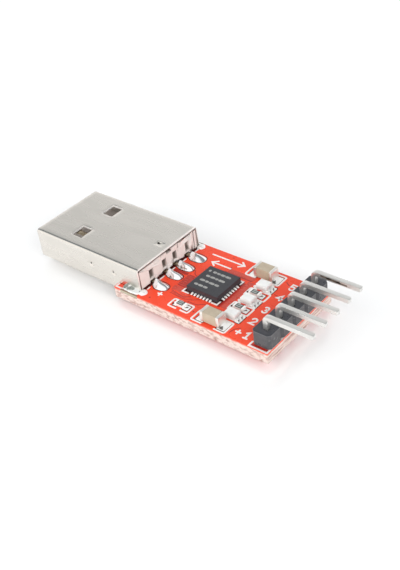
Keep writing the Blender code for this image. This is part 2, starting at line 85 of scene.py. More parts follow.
def camera_axes(azimuth, elevation, roll):
    """The camera's right, up and back axes. Back is the direction to the camera: azimuth turns from -Y
    towards +X, and elevation rises to +Z. Roll then turns right towards up."""
    back = np.array(
        (
            np.sin(azimuth) * np.cos(elevation),
            -np.cos(azimuth) * np.cos(elevation),
            np.sin(elevation),
        )
    )
    level_right = np.array((np.cos(azimuth), np.sin(azimuth), 0.0))
    level_up = np.cross(back, level_right)
    right = np.cos(roll) * level_right + np.sin(roll) * level_up
    return right, np.cross(back, right), back


camera = bpy.data.objects.new("camera", bpy.data.cameras.new("camera"))
bpy.context.scene.collection.objects.link(camera)
camera_matrix = np.eye(4)
camera_matrix[:3, :3] = np.array(camera_axes(CAMERA_AZIMUTH, CAMERA_ELEVATION, CAMERA_ROLL)).T
camera_matrix[:3, 3] = CAMERA_PLACE * MM
camera.matrix_world = Matrix(camera_matrix.tolist())
camera.data.lens = CAMERA_LENS
camera.data.shift_x = CAMERA_SHIFT_X
camera.data.clip_start = CAMERA_CLIP_START
bpy.context.scene.camera = camera
bpy.context.scene.view_settings.view_transform = "Standard"
print("camera", np.round(CAMERA_PLACE, 1), "mm from the middle of the module")

# %% [markdown]
# Every surface here is worked out as an array of points. Two functions do the writing: one lists the
# faces between neighbouring rows of points, and one turns closed skins into an object. A skin is a
# pair: its points in millimetres, and its faces. Normals are turned outwards skin by skin, which
# works because every skin is closed.


# %% Turn arrays of points into objects
def bands(rows, columns, wrap=True):
    """Quads between neighbouring rows of a grid: corner (r, c), (r, c + 1), (r + 1, c + 1), (r + 1, c).
    With wrap, the last column joins the first."""
    r, c = np.meshgrid(np.arange(rows - 1), np.arange(columns if wrap else columns - 1), indexing="ij")
    after = (c + 1) % columns
    first, next_row = r * columns, (r + 1) * columns
    return np.stack([first + c, first + after, next_row + after, next_row + c], axis=-1).reshape(-1, 4)


def together(skins):
    """One skin of many: the points end to end, and each face list moved up past the points before it."""
    points, faces, count = [], [], 0
    for skin_points, skin_faces in skins:
        points.append(skin_points)
        faces.extend((np.asarray(block) + count) for block in skin_faces)
        count += len(skin_points)
    return np.concatenate(points), faces


def moved(skin, step=(0.0, 0.0, 0.0), quarters=0):
    """A skin turned by quarter turns about Z, then moved by a step."""
    points, faces = skin
    turn = np.array(((0.0, -1.0, 0.0), (1.0, 0.0, 0.0), (0.0, 0.0, 1.0)))
    return points @ np.linalg.matrix_power(turn, quarters).T + np.array(step), faces


def level_faces(piece):
    """Weight the normals by face area, so that a flat face stays flat right up to its rounded edge."""
    weights = piece.modifiers.new("level_faces", "WEIGHTED_NORMAL")
    weights.keep_sharp = True


def make(name, skin, finish, stands_for=(), sharp=35.0, body="root", level=True):
    """Write a skin as a named object that rides on a body, smooth except at edges sharper than an angle."""
    points, faces = skin
    mesh = bpy.data.meshes.new(name)
    mesh.from_pydata((points * MM).tolist(), [], [face for block in faces for face in block.tolist()])
    form = bmesh.new()
    form.from_mesh(mesh)
    bmesh.ops.recalc_face_normals(form, faces=form.faces)
    form.to_mesh(mesh)
    form.free()
    mesh.shade_smooth()
    mesh.set_sharp_from_angle(angle=np.radians(sharp))
    mesh.materials.append(finish)
    piece = bpy.data.objects.new(name, mesh)
    bpy.context.scene.collection.objects.link(piece)
    if body:
        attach(piece, body)
    if stands_for:
        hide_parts(*stands_for)
    if level:
        level_faces(piece)
    print(name, len(points), "points")
    return piece


# %% [markdown]
# Most pieces on a board are plates of some kind: the laminate, the mask, a pad, a line of ink, a chip.
# One function makes them all. Its outline is moved inwards a little at each level, which rounds the
# edges, and the first and last levels are filled.


# %% Plates
def unit(vectors):
    """Each row divided by its own length."""
    return vectors / np.maximum(np.linalg.norm(vectors, axis=-1, keepdims=True), 1e-12)


def left_of(vectors):
    """Each (x, y) turned a quarter turn to its left: (-y, x)."""
    return np.stack([-vectors[..., 1], vectors[..., 0]], axis=-1)


def inwards(outline, inset):
    """Each corner of a counter-clockwise outline moved inwards: the sum of its two edges' left normals,
    times inset over one plus their product, which keeps both edges parallel to themselves."""
    before = left_of(unit(outline - np.roll(outline, 1, axis=0)))
    after = left_of(unit(np.roll(outline, -1, axis=0) - outline))
    cosine = (before * after).sum(axis=1, keepdims=True)
    return outline + (before + after) * inset / np.maximum(1.0 + cosine, 0.2)


def plate(outline, levels, holes=()):
    """A closed plate: row i is the outline moved in by inset i at height z i. The first and last rows
    are filled with triangles, and every hole runs straight through."""
    levels = np.asarray(levels, float)
    count = len(outline)
    rows = [np.c_[inwards(outline, inset), np.full(count, z)] for inset, z in levels]
    points, faces = list(rows), [bands(len(levels), count)]
    total = count * len(levels)
    low_ids, high_ids = [np.arange(count)], [np.arange(total - count, total)]
    for hole in holes:
        size = len(hole)
        points += [np.c_[hole, np.full(size, levels[0, 1])], np.c_[hole, np.full(size, levels[-1, 1])]]
        faces.append(bands(2, size) + total)
        low_ids.append(np.arange(total, total + size))
        high_ids.append(np.arange(total + size, total + 2 * size))
        total += 2 * size
    for ids, inset in ((low_ids, levels[0, 0]), (high_ids, levels[-1, 0])):
        loops = [inwards(outline, inset), *holes]
        flat = [[Vector((x, y, 0.0)) for x, y in loop] for loop in loops]
        faces.append(np.concatenate(ids)[np.array(tessellate_polygon(flat))])
    return np.concatenate(points), faces


def rounded_levels(low, high, radius, steps=3, round_low=False):
    """Levels (inset, z) of a wall with a rounded top edge: at angle a the inset is r (1 - cos a) and the
    height is high - r (1 - sin a). With round_low the bottom edge mirrors the top one."""
    turn = np.linspace(0.0, np.pi / 2, steps + 1)
    top = np.c_[radius * (1 - np.cos(turn)), high - radius * (1 - np.sin(turn))]
    bottom = np.c_[top[::-1, 0], low + high - top[::-1, 1]] if round_low else [[0.0, low]]
    return np.concatenate([bottom, top])


# %% [markdown]
# A plate needs an outline: a rectangle with round corners, a circle, or the outline of a drawn line. A line
# of ink or copper runs along its path on one side and back on the other. Its path is an arc, or a smooth
# curve through points read from the photograph.


# %% Outlines and lines
def rectangle(low_x, high_x, low_y, high_y, radius=0.0, steps=4):
    """A rectangle with round corners, counter-clockwise: a quarter circle about each inset corner."""
    middles = np.array(
        (
            (high_x - radius, high_y - radius),
            (low_x + radius, high_y - radius),
            (low_x + radius, low_y + radius),
            (high_x - radius, low_y + radius),
        )
    )
    if radius == 0.0:
        return middles
    turn = np.linspace(0.0, np.pi / 2, steps + 1)
    angles = np.arange(4)[:, None] * np.pi / 2 + turn
    round_corner = np.stack([np.cos(angles), np.sin(angles)], axis=-1) * radius
    return (middles[:, None] + round_corner).reshape(-1, 2)


def circle(x, y, radius, sides=24):
    """Points x + r cos t, y + r sin t, counter-clockwise."""
    turn = np.linspace(0.0, 2 * np.pi, sides, endpoint=False)
    return np.c_[x + radius * np.cos(turn), y + radius * np.sin(turn)]


def stroke(path, width, cap_steps=5):
    """Outline of a round-ended line: along the right side of the path, half round its end, back along
    its left side and half round its start. At a bend the two sides meet on the bisector."""
    path = np.asarray(path, float)
    ahead = unit(np.diff(path, axis=0))
    before, after = np.vstack([ahead[:1], ahead]), np.vstack([ahead, ahead[-1:]])
    cosine = (before * after).sum(axis=1, keepdims=True)
    side = (left_of(before) + left_of(after)) / np.maximum(1.0 + cosine, 0.35) * width / 2
    turn = np.linspace(-np.pi / 2, np.pi / 2, cap_steps + 2)[1:-1, None]
    end = path[-1] + (np.cos(turn) * ahead[-1] + np.sin(turn) * left_of(ahead[-1])) * width / 2
    start = path[0] - (np.cos(turn) * ahead[0] + np.sin(turn) * left_of(ahead[0])) * width / 2
    return np.concatenate([path - side, end, (path + side)[::-1], start])


def slab(outline, low, high):
    """A plate with plain upright sides."""
    return plate(outline, [(0.0, low), (0.0, high)])


LINE_RISE = 0.0002


def lines(paths, width, low, high):
    """Flat round-ended lines along paths, as one skin. Each is a hair thicker than the one before it, so
    lines that cross never share a face."""
    return together([slab(stroke(path, width), low, high + LINE_RISE * n) for n, path in enumerate(paths)])


def arc(x, y, radius, start, end, steps=8):
    """Points on a circle from one angle to another, in degrees."""
    turn = np.radians(np.linspace(start, end, steps + 1))
    return np.c_[x + radius * np.cos(turn), y + radius * np.sin(turn)]


def smooth_path(points, steps=8):
    """A curve through points: between each two, the cubic that leaves and arrives along the chord of its
    neighbours (Catmull and Rom's spline)."""
    points = np.asarray(points, float)
    ends = np.vstack([2 * points[0] - points[1], points, 2 * points[-1] - points[-2]])
    t = np.linspace(0.0, 1.0, steps, endpoint=False)[:, None, None]
    a, b, c, d = ends[:-3], ends[1:-2], ends[2:-1], ends[3:]
    curve = 0.5 * (2 * b + (c - a) * t + (2 * a - 5 * b + 4 * c - d) * t**2 + (3 * b - a - 3 * c + d) * t**3)
    return np.vstack([curve.transpose(1, 0, 2).reshape(-1, points.shape[1]), points[-1:]])


# %% [markdown]
# Pins, contacts and solder need two more surfaces. A bar is a section carried along a path, as wire is drawn
# through a die and then bent. A turned piece is a stack of circles about an upright axis, which suits a
# drop or a cone of solder.


# %% Bars and turned pieces
def bar(path, across, section, scales=None):
    """A closed bar: at each point of the path the section's (u, v) is laid out as across times u plus the
    path's own normal times v, both times the scale there. A fan about the path's end closes each end."""
    path, across = np.asarray(path, float), np.asarray(across, float)
    scales = np.ones(len(path)) if scales is None else np.asarray(scales, float)
    normal = unit(np.cross(unit(np.gradient(path, axis=0)), across))
    rings = (
        path[:, None]
        + across * section[None, :, :1] * scales[:, None, None]
        + normal[:, None] * section[None, :, 1:] * scales[:, None, None]
    )
    rows, columns = len(path), len(section)
    index = np.arange(columns)
    fan = np.c_[index, np.roll(index, -1), np.full(columns, rows * columns)]
    last_row = (rows - 1) * columns
    points = np.vstack([rings.reshape(-1, 3), path[:1], path[-1:]])
    return points, [bands(rows, columns), fan, fan + [last_row, last_row, 1]]


def bent(points, radius, steps=8):
    """A path through points with each inner corner rounded: a parabola from one side to the other."""
    points = np.asarray(points, float)
    before, after = unit(points[:-2] - points[1:-1]), unit(points[2:] - points[1:-1])
    t = np.linspace(0.0, 1.0, steps + 1)[None, :, None]
    corner = points[1:-1, None]
    start, end = corner + before[:, None] * radius, corner + after[:, None] * radius
    round_corner = (1 - t) ** 2 * start + 2 * t * (1 - t) * corner + t**2 * end
    return np.vstack([points[:1], round_corner.reshape(-1, points.shape[1]), points[-1:]])


def turned(x, y, profile, sides=28):
    """A closed stack of circles about an upright axis. A row of the profile is (radius, height). The first
    and the last row are points on the axis, and fans close the circles between them."""
    profile = np.asarray(profile, float)
    rings = [np.c_[circle(x, y, radius, sides), np.full(sides, z)] for radius, z in profile[1:-1]]
    points = np.vstack([*rings, [[x, y, profile[0, 1]], [x, y, profile[-1, 1]]]])
    count = sides * len(rings)
    index, after = np.arange(sides), np.roll(np.arange(sides), -1)
    first = np.c_[after, index, np.full(sides, count)]
    last = np.c_[index, after, np.full(sides, count)] + [count - sides, count - sides, 1]
    return points, [bands(len(rings), sides), first, last]


# %% [markdown]
# Blender's materials are trees of small nodes, and writing each node and link out takes many lines. A helper
# makes a node, fills its inputs and gives back its outputs, so that a tree reads like a formula.


# %% Trees of nodes
class Nodes:
    """A node tree, and short ways to add to it."""

    def __init__(self, tree):
        self.nodes, self.links = tree.nodes, tree.links

    def node(self, kind, inputs=(), **settings):
        """Add a node, give it its settings, and fill its inputs: a socket is linked, anything else is set."""
        node = self.nodes.new(f"ShaderNode{kind}")
        for name, value in settings.items():
            setattr(node, name, value)
        for place, value in dict(inputs).items():
            if isinstance(value, bpy.types.NodeSocket):
                self.links.new(value, node.inputs[place])
            else:
                node.inputs[place].default_value = value
        return node.outputs

    def maths(self, operation, first, second=0.0, clamp=False):
        """One step of arithmetic on two values, each a socket or a number."""
        return self.node("Math", {0: first, 1: second}, operation=operation, use_clamp=clamp)["Value"]

    def plus(self, first, second):
        """The sum of two values."""
        return self.maths("ADD", first, second)

    def minus(self, first, second):
        """The first value less the second."""
        return self.maths("SUBTRACT", first, second)

    def times(self, first, second):
        """The product of two values."""
        return self.maths("MULTIPLY", first, second)

    def apart(self, first, second):
        """How far two values lie apart."""
        return self.maths("ABSOLUTE", self.minus(first, second))

    def mix(self, share, first, second):
        """The first colour, going over to the second as a share rises from 0 to 1."""
        first, second = ((*tone, 1.0) if isinstance(tone, tuple) else tone for tone in (first, second))
        return self.node("Mix", {"Factor": share, "A": first, "B": second}, data_type="RGBA")["Result"]

    def ramp(self, value, stops):
        """Colours at stops along a value from 0 to 1."""
        ramp = self.nodes.new("ShaderNodeValToRGB")
        band = ramp.color_ramp
        while len(band.elements) < len(stops):
            band.elements.new(0.5)
        for element, (position, colour) in zip(band.elements, stops):
            element.position = position
            element.color = (*colour, 1.0)
        self.links.new(value, ramp.inputs["Fac"])
        return ramp.outputs["Color"]


# %% [markdown]
# A finish is a shader plus one or two patterns that break up its colour, gloss and surface. All patterns
# read the object's own coordinates, turned to millimetres by a Mapping node, so a pattern keeps its real
# size. Numbers that are the same all over are set on the shader itself.


# %% Finishes from nodes
class Finish(Nodes):
    """A material with one Principled shader, and short ways to add patterns to it."""

    def __init__(self, name, colour, roughness, metallic=0.0, **settings):
        self.material = bpy.data.materials.new(name)
        self.material.use_nodes = True
        super().__init__(self.material.node_tree)
        self.shader = self.nodes["Principled BSDF"]
        plain = {"Base Color": (*colour, 1.0), "Roughness": roughness, "Metallic": metallic}
        for socket, value in {**plain, **settings}.items():
            self.shader.inputs[socket.replace("_", " ")].default_value = value

    def feed(self, socket, value):
        """Link a value to an input of the shader."""
        self.links.new(value, self.shader.inputs[socket])

    def millimetres(self, stretch=(1.0, 1.0, 1.0)):
        """Object coordinates in millimetres, stretched."""
        inputs = {"Vector": self.node("TexCoord")["Object"], "Scale": [part / MM for part in stretch]}
        return self.node("Mapping", inputs)["Vector"]

    def places(self):
        """The X, Y and Z of the point, in millimetres."""
        return self.node("SeparateXYZ", {"Vector": self.millimetres()})

    def noise(self, scale, stretch=(1.0, 1.0, 1.0), detail=3.0):
        """Soft cloudy noise, with scale in spots per millimetre."""
        inputs = {"Vector": self.millimetres(stretch), "Scale": scale, "Detail": detail}
        return self.node("TexNoise", inputs)["Fac"]

    def between(self, value, start, end):
        """A value's way from start to end, from 0 to 1, with soft ends."""
        inputs = {"Value": value, "From Min": start, "From Max": end}
        return self.node("MapRange", inputs, interpolation_type="SMOOTHSTEP")["Result"]

    def gloss(self, value, low, high):
        """Let the roughness run from low to high as a value runs from 0.3 to 0.7."""
        inputs = {"Value": value, "From Min": 0.3, "From Max": 0.7, "To Min": low, "To Max": high}
        self.feed("Roughness", self.node("MapRange", inputs)["Result"])

    def relief(self, value, depth):
        """Raise the surface by a value times a depth in millimetres."""
        self.feed("Normal", self.node("Bump", {"Height": value, "Distance": depth * MM})["Normal"])


# %% [markdown]
# Few real surfaces have one colour. Rolled metal, resin, ink and solder mask all drift a little between two
# tones, and their gloss drifts with them. One function makes such a finish from a cloudy noise.


# %% Finishes that drift between two tones
def clouded(name, light, dark, roughness, scale, metallic=0.0, spread=0.08, depth=0.0, **settings):
    """A finish whose colour drifts between two tones with a cloudy noise, and whose gloss drifts too. With a
    depth, a noise four times as fine gives it some relief. A stretch draws out both noises."""
    stretch = settings.pop("stretch", (1.0, 1.0, 1.0))
    finish = Finish(name, light, roughness, metallic, **settings)
    cloud = finish.noise(scale, stretch)
    finish.feed("Base Color", finish.ramp(cloud, [(0.3, dark), (0.7, light)]))
    finish.gloss(cloud, roughness + spread, roughness - spread)
    if depth:
        finish.relief(finish.noise(scale * 4, stretch, detail=2.0), depth)
    return finish.material


NICKEL = clouded(
    "rolled_nickel_plate", (0.83, 0.79, 0.735), (0.79, 0.755, 0.70), 0.27, 0.7, 1.0, 0.03, 0.0005,
    stretch=(0.25, 1.0, 1.0),
)
# Inside of the shell: duller, and darkened as painted shade for the hollows seen through the windows.
SHELL_INSIDE_SHADE = clouded("shell_inside_painted_shade", (0.58, 0.55, 0.51), (0.48, 0.45, 0.41), 0.5, 1.0, 0.6, 0.05, 0.001)
GILT = clouded("gilt_strip", (0.62, 0.53, 0.39), (0.50, 0.42, 0.30), 0.3, 2.0, 1.0, 0.05, 0.001)
END_METAL = clouded("end_tin", (0.92, 0.90, 0.86), (0.86, 0.83, 0.78), 0.3, 2.0, 0.85, 0.03, 0.0002)
PIN_PLATE = clouded(
    "bright_pin_plate", (0.86, 0.85, 0.82), (0.80, 0.79, 0.76), 0.3, 1.2, 0.9, 0.04, 0.0004,
    stretch=(0.4, 1.0, 1.0),
)
MASK = clouded(
    "red_solder_mask", (0.94, 0.078, 0.030), (0.88, 0.066, 0.024), 0.28, 0.4, 0.0, 0.04, 0.001,
    Specular_IOR_Level=0.35,
)
# Dark mask over bare laminate, also used for strips of painted shadow.
BARE_MASK_AND_SHADE = clouded("mask_over_laminate_and_shade", (0.50, 0.022, 0.012), (0.40, 0.017, 0.009), 0.30, 1.0, 0.0, 0.04)
# Mask over copper, also used for a muted strip of painted shade beside the chip.
TRACE_MASK_AND_SHADE = clouded("mask_over_trace_and_shade", (0.66, 0.075, 0.045), (0.58, 0.060, 0.036), 0.26, 1.0, 0.0, 0.04)
# Dark bare laminate round pads and the chip, dark flecks on pads, and painted shade in the gap under the
# core.
BARE_RING_AND_SHADE = clouded(
    "bare_laminate_and_painted_shade", (0.10, 0.014, 0.010), (0.05, 0.008, 0.006), 0.6, 2.0, Specular_IOR_Level=0.1
)
# Dark discs of painted shade in the stamped marks.
SHADE_DISC = clouded(
    "painted_shade_disc", (0.035, 0.03, 0.028), (0.02, 0.018, 0.016), 0.6, 2.0, Specular_IOR_Level=0.1
)
# Specks of painted shade beside the parts' right ends.
SHADE_SPECK = clouded("painted_shade_speck", (0.17, 0.155, 0.14), (0.08, 0.07, 0.065), 0.5, 3.0)
TARNISH = clouded("brown_tarnish", (0.20, 0.145, 0.11), (0.10, 0.07, 0.055), 0.45, 2.0, 0.3, 0.05, 0.001)
INK = clouded("white_ink", (0.92, 0.88, 0.86), (0.88, 0.79, 0.76), 0.5, 4.0, 0.0, 0.05, 0.003)
RESIN = clouded("chip_resin", (0.043, 0.043, 0.050), (0.034, 0.034, 0.041), 0.42, 6.0, 0.0, 0.05, 0.005)
PRINT = clouded("laser_print", (0.44, 0.44, 0.42), (0.24, 0.24, 0.235), 0.6, 7.0)
WHITE_TIN = clouded("white_tinned_end", (0.95, 0.95, 0.93), (0.89, 0.89, 0.87), 0.45, 2.0, 0.0, 0.08, 0.0006)
CERAMIC = clouded("tan_ceramic", (0.52, 0.44, 0.33), (0.46, 0.38, 0.28), 0.42, 1.2, 0.0, 0.06, 0.003)
GLAZE = clouded("black_glaze", (0.075, 0.08, 0.078), (0.03, 0.033, 0.033), 0.25, 4.0, 0.0, 0.05, 0.003)
GLAZE_MARK = clouded("pale_glaze_mark", (0.40, 0.43, 0.41), (0.26, 0.29, 0.28), 0.35, 3.0)
ALUMINA = clouded("white_alumina", (0.84, 0.83, 0.80), (0.77, 0.76, 0.74), 0.5, 3.0, 0.0, 0.05)
LENS = clouded(
    "clear_light_resin", (0.97, 1.0, 0.96), (0.92, 0.98, 0.90), 0.25, 0.9, 0.0, 0.05, 0.001,
    Coat_Weight=0.3, Coat_Roughness=0.15,
    Subsurface_Weight=0.8, Subsurface_Scale=0.0008, Subsurface_Radius=(1.0, 1.0, 1.0),
)

# %% [markdown]
# Solder changes from place to place. On the plug it is a mirror out on the pads and dull white where it
# froze first, and beside the shell flux has blotched it. A share from 0 to 1, worked out from the point's own
# place, mixes two looks.

# %% Solder
# From here on a pair of places, in millimetres, is where a share is 0 and where it is 1.
BRIGHT_SOLDER_X = (-2.8, -2.2)


def solder_finish():
    """Flowed solder: a mirror out on the pads, and dull white against the core, where it froze first. The
    change moves both the metallic share and the roughness."""
    finish = Finish("flowed_solder", (0.97, 0.97, 0.97), 0.1, 0.92)
    cloud = finish.noise(2.5)
    finish.feed("Base Color", finish.ramp(cloud, [(0.3, (0.93, 0.94, 0.95)), (0.7, (0.97, 0.97, 0.97))]))
    bright = finish.between(finish.places()["X"], *BRIGHT_SOLDER_X)
    finish.feed("Metallic", finish.times(bright, 0.92))
    finish.feed("Roughness", finish.minus(0.42, finish.times(bright, 0.32)))
    finish.relief(finish.noise(10.0, detail=2.0), 0.0006)
    return finish.material


SOLDER = solder_finish()
# Each blotch: X, distance from the board's middle line, and size.
SOLDER_BLOTCHES = (
    (-5.95, 6.20, 0.36),
    (-5.25, 6.42, 0.26),
    (-4.95, 6.32, 0.30),
    (-4.60, 6.22, 0.26),
    (-3.48, 6.12, 0.14),
)


def dull_solder_finish():
    """Solder that froze slowly: nearly white, with ragged grey-green blotches of flux. A blotch is where the
    distance to its middle, over its size, plus a strong cloudy noise stays small. Y counts from the middle
    of the board outwards, so both sides get the same blotches."""
    finish = Finish("dull_solder", (0.94, 0.95, 0.93), 0.3, 0.35)
    place = finish.places()
    side = finish.maths("ABSOLUTE", place["Y"])
    cloud = finish.noise(3.0, (0.6, 1.0, 1.0))
    nearest = finish.plus(cloud, 9.0)
    for x, y, size in SOLDER_BLOTCHES:
        along = finish.maths("POWER", finish.apart(place["X"], x), 2.0)
        across = finish.maths("POWER", finish.apart(side, y), 2.0)
        distance = finish.maths("DIVIDE", finish.maths("SQRT", finish.plus(along, across)), size)
        nearest = finish.maths("MINIMUM", nearest, distance)
    blotched = finish.between(finish.plus(nearest, finish.times(cloud, 2.2)), 2.5, 1.75)
    finish.feed("Base Color", finish.mix(blotched, (0.94, 0.95, 0.93), (0.30, 0.33, 0.30)))
    finish.gloss(cloud, 0.25, 0.4)
    finish.relief(finish.noise(3.0, detail=2.0), 0.012)
    return finish.material


DULL_SOLDER = dull_solder_finish()

# %% [markdown]
# A cut through sheet leaves an edge that is rougher than the face. It is bright at the mouth. At the rear its
# inner part is dark brown: painted shade for the gap along the sheet's inner side.

# %% Cut edge of the sheet
# Where the painted shade on the rear rim sets in, along X and down in Z.
SHADED_EDGE_X = (-5.2, -4.2)
SHADED_EDGE_LOW_Z = (4.9, 3.0)
# The middle of the shell's rear opening in Y and Z, and half its size to the inside of the sheet.
OPENING_MIDDLE = (0.12, 3.5)
OPENING_HALF = (5.75, 2.0)


def cut_edge_finish():
    """The sheet's cut edge: bright at the mouth and the windows. At the rear its inner part is dark brown, as
    painted shade. That part is where the point lies less than about 0.14 mm outside the opening, in Y and in
    Z, and down at the solder less than 0.24 mm."""
    finish = Finish("cut_steel_edge", (0.9, 0.87, 0.84), 0.5, 0.3)
    place = finish.places()
    aside = finish.minus(finish.apart(place["Y"], OPENING_MIDDLE[0]), OPENING_HALF[0])
    above = finish.minus(finish.apart(place["Z"], OPENING_MIDDLE[1]), OPENING_HALF[1])
    widening = finish.times(finish.between(place["Z"], *SHADED_EDGE_LOW_Z), 0.1)
    inner = finish.between(finish.minus(finish.maths("MAXIMUM", aside, above), widening), 0.17, 0.11)
    shaded_rim = finish.times(inner, finish.between(place["X"], *SHADED_EDGE_X))
    # Painted shade: the inner part of the rear rim goes dark brown.
    finish.feed("Base Color", finish.mix(shaded_rim, (0.92, 0.89, 0.86), (0.11, 0.065, 0.05)))
    finish.gloss(finish.noise(5.0), 0.6, 0.45)
    return finish.material


CUT_STEEL = cut_edge_finish()

# %% [markdown]
# The plug's core is cream plastic, with painted shade where its slots run deep. Flux dried over the board's
# edge, olive with brown borders. The header is black, with a painted highlight on its rim, pale streaks of
# painted sheen on its sides and painted shade on its top.

# %% Plastic and dried flux
SLOT_SHADE_BACK_X = (-7.2, -6.6)
SLOT_SHADE_FRONT_X = (-3.72, -4.05)


def moulding_finish():
    """Cream plastic, clouded, with painted shade inside the slots of the rear block: grey-brown from a little
    behind its face to about three millimetres in, along X."""
    finish = Finish("cream_moulding", (0.86, 0.78, 0.74), 0.45)
    cloud = finish.noise(0.9)
    pale = finish.ramp(cloud, [(0.3, (0.80, 0.71, 0.67)), (0.7, (0.86, 0.78, 0.74))])
    x = finish.places()["X"]
    # Painted shade deep in the slots.
    deep = finish.times(finish.between(x, *SLOT_SHADE_BACK_X), finish.between(x, *SLOT_SHADE_FRONT_X))
    finish.feed("Base Color", finish.mix(deep, pale, (0.30, 0.245, 0.215)))
    finish.gloss(cloud, 0.5, 0.4)
    finish.relief(finish.noise(3.6, detail=2.0), 0.004)
    return finish.material


CREAM = moulding_finish()
FLUX_UPPER_BORDER_Z = (2.49, 2.54)
FLUX_LOWER_BORDER_Z = (2.20, 2.14)


def flux_finish():
    """Flux dried over the board's edge: olive in the middle and brown along its upper and lower borders."""
    finish = Finish("dried_flux", (0.5, 0.45, 0.33), 0.4)
    cloud = finish.noise(1.6, (0.3, 1.0, 2.0))
    olive = finish.ramp(cloud, [(0.3, (0.34, 0.31, 0.215)), (0.7, (0.53, 0.48, 0.35))])
    height = finish.plus(finish.places()["Z"], finish.times(cloud, 0.1))
    upper, lower = (finish.between(height, *border) for border in (FLUX_UPPER_BORDER_Z, FLUX_LOWER_BORDER_Z))
    finish.feed("Base Color", finish.mix(finish.maths("MAXIMUM", upper, lower), olive, (0.24, 0.15, 0.10)))
    finish.gloss(cloud, 0.5, 0.35)
    finish.relief(finish.noise(6.0, detail=2.0), 0.01)
    return finish.material


FLUX = flux_finish()
# Heights of the painted highlight on the rim and of the painted shade on the top.
HEADER_RIM_Z = (4.52, 4.57)
HEADER_TOP_Z = (4.59, 4.62)


def header_finish():
    """Black moulded plastic. Its top is painted darker, as shade. Its rounded rim carries a painted
    highlight, and the sides are clouded, with pale streaks of painted sheen where a stretched noise is high."""
    finish = Finish("black_header_plastic", (0.09, 0.09, 0.095), 0.32)
    cloud = finish.noise(1.5)
    black = finish.ramp(cloud, [(0.3, (0.058, 0.057, 0.063)), (0.7, (0.088, 0.086, 0.092))])
    # Painted sheen: pale streaks on the sides.
    sheen_streaks = finish.between(finish.noise(1.1, (0.7, 0.7, 1.6), 4.0), 0.62, 0.70)
    sides = finish.mix(sheen_streaks, black, (0.20, 0.20, 0.205))
    height = finish.places()["Z"]
    rim_highlight = finish.mix(finish.between(height, *HEADER_RIM_Z), sides, (0.15, 0.15, 0.155))
    shaded_top = finish.between(height, *HEADER_TOP_Z)
    finish.feed("Base Color", finish.mix(shaded_top, rim_highlight, (0.044, 0.046, 0.056)))
    finish.gloss(cloud, 0.38, 0.26)
    finish.relief(finish.noise(6.0, detail=2.0), 0.003)
    return finish.material


BLACK_PLASTIC = header_finish()

# %% [markdown]
# The laminate is woven glass in resin, and the cutter leaves its edge soft and lumpy. One noise gives both
# the colour and the relief of the lumps, so the hollows are the darker places.

# %% Edge of the laminate
REDDENED_EDGE_Z = (2.26, 2.5)


def laminate_finish():
    """The cut edge of woven glass in resin: soft pale lumps with brownish hollows between them. A cloudy
    noise gives them, squeezed in Z and drawn out in Y, so the board's end shows long stripes. Near the top
    the red mask has run over the edge, down to a height that wanders."""
    finish = Finish("glass_fibre_edge", (0.8, 0.6, 0.5), 0.5)
    lumps = finish.noise(1.5, (1.0, 0.22, 2.0), 3.0)
    hollow, slope = (0.30, (0.40, 0.24, 0.20)), (0.43, (0.64, 0.46, 0.41))
    lump, top = (0.56, (0.80, 0.66, 0.60)), (0.75, (0.74, 0.58, 0.52))
    edges = finish.ramp(lumps, [hollow, slope, lump, top])
    wander = finish.times(finish.noise(1.2, (1.0, 1.0, 0.3)), 0.2)
    reddened = finish.between(finish.plus(finish.places()["Z"], wander), *REDDENED_EDGE_Z)
    finish.feed("Base Color", finish.mix(reddened, edges, (0.86, 0.12, 0.06)))
    finish.gloss(finish.noise(3.0), 0.6, 0.4)
    finish.relief(lumps, 0.12)
    return finish.material


LAMINATE = laminate_finish()
print("finishes:", len(bpy.data.materials))

# %% [markdown]
# A lightweight studio: a wide white floor, a bright surround with a dark strip overhead, and three big soft
# lamps. The floor is white to the camera and to reflections, and a little greyer to bounced light. It keeps
# the shadow, and a faint glow that only the camera sees lifts the rest to white.

# %% Floor
FLOOR_HALF_SIDE = 600.0
FLOOR_THICKNESS = 2.0
FLOOR_GREY = 0.85
FLOOR_GLOSS_SHARE = 0.15
FLOOR_GLOSS_ROUGHNESS = 0.18
FLOOR_GLOW = 0.07


def floor_finish():
    """White where the camera, a reflection or a clear body looks at it, and grey for bounced light. To the
    camera it also glows a little, which lifts the background to white and leaves the shadow."""
    finish = Finish("studio_floor", (1.0, 1.0, 1.0), 0.5)
    path = finish.node("LightPath")
    looked_at = finish.maths("ADD", path["Is Camera Ray"], path["Is Glossy Ray"], True)
    looked_at = finish.maths("ADD", looked_at, path["Is Transmission Ray"], True)
    shade = finish.mix(looked_at, (FLOOR_GREY, FLOOR_GREY, FLOOR_GREY), (1.0, 1.0, 1.0))
    matt = finish.node("BsdfDiffuse", {"Color": shade})[0]
    gloss = finish.node("BsdfGlossy", {"Roughness": FLOOR_GLOSS_ROUGHNESS})[0]
    surface = finish.node("MixShader", {"Fac": FLOOR_GLOSS_SHARE, 1: matt, 2: gloss})[0]
    glow = finish.node("Emission", {"Strength": finish.times(path["Is Camera Ray"], FLOOR_GLOW)})[0]
    both = finish.node("AddShader", {0: surface, 1: glow})[0]
    finish.links.new(both, finish.nodes["Material Output"].inputs["Surface"])
    finish.nodes.remove(finish.shader)
    return finish.material


def studio_floor():
    """A square plate under the module, with its top at the level of the lowest tails."""
    side = FLOOR_HALF_SIDE
    skin = slab(rectangle(-side, side, -side, side), -FLOOR_THICKNESS, 0.0)
    make("studio_floor", skin, floor_finish(), body=None)


studio_floor()

# %% [markdown]
# The dark strip overhead matters. Polished metal shows what is around it, and in the photograph the bends and
# solder carry a dark streak between two bright ones. The strip runs along X, as they do. The lamps are left
# out of reflections, because a mirrored lamp burns a bend out.

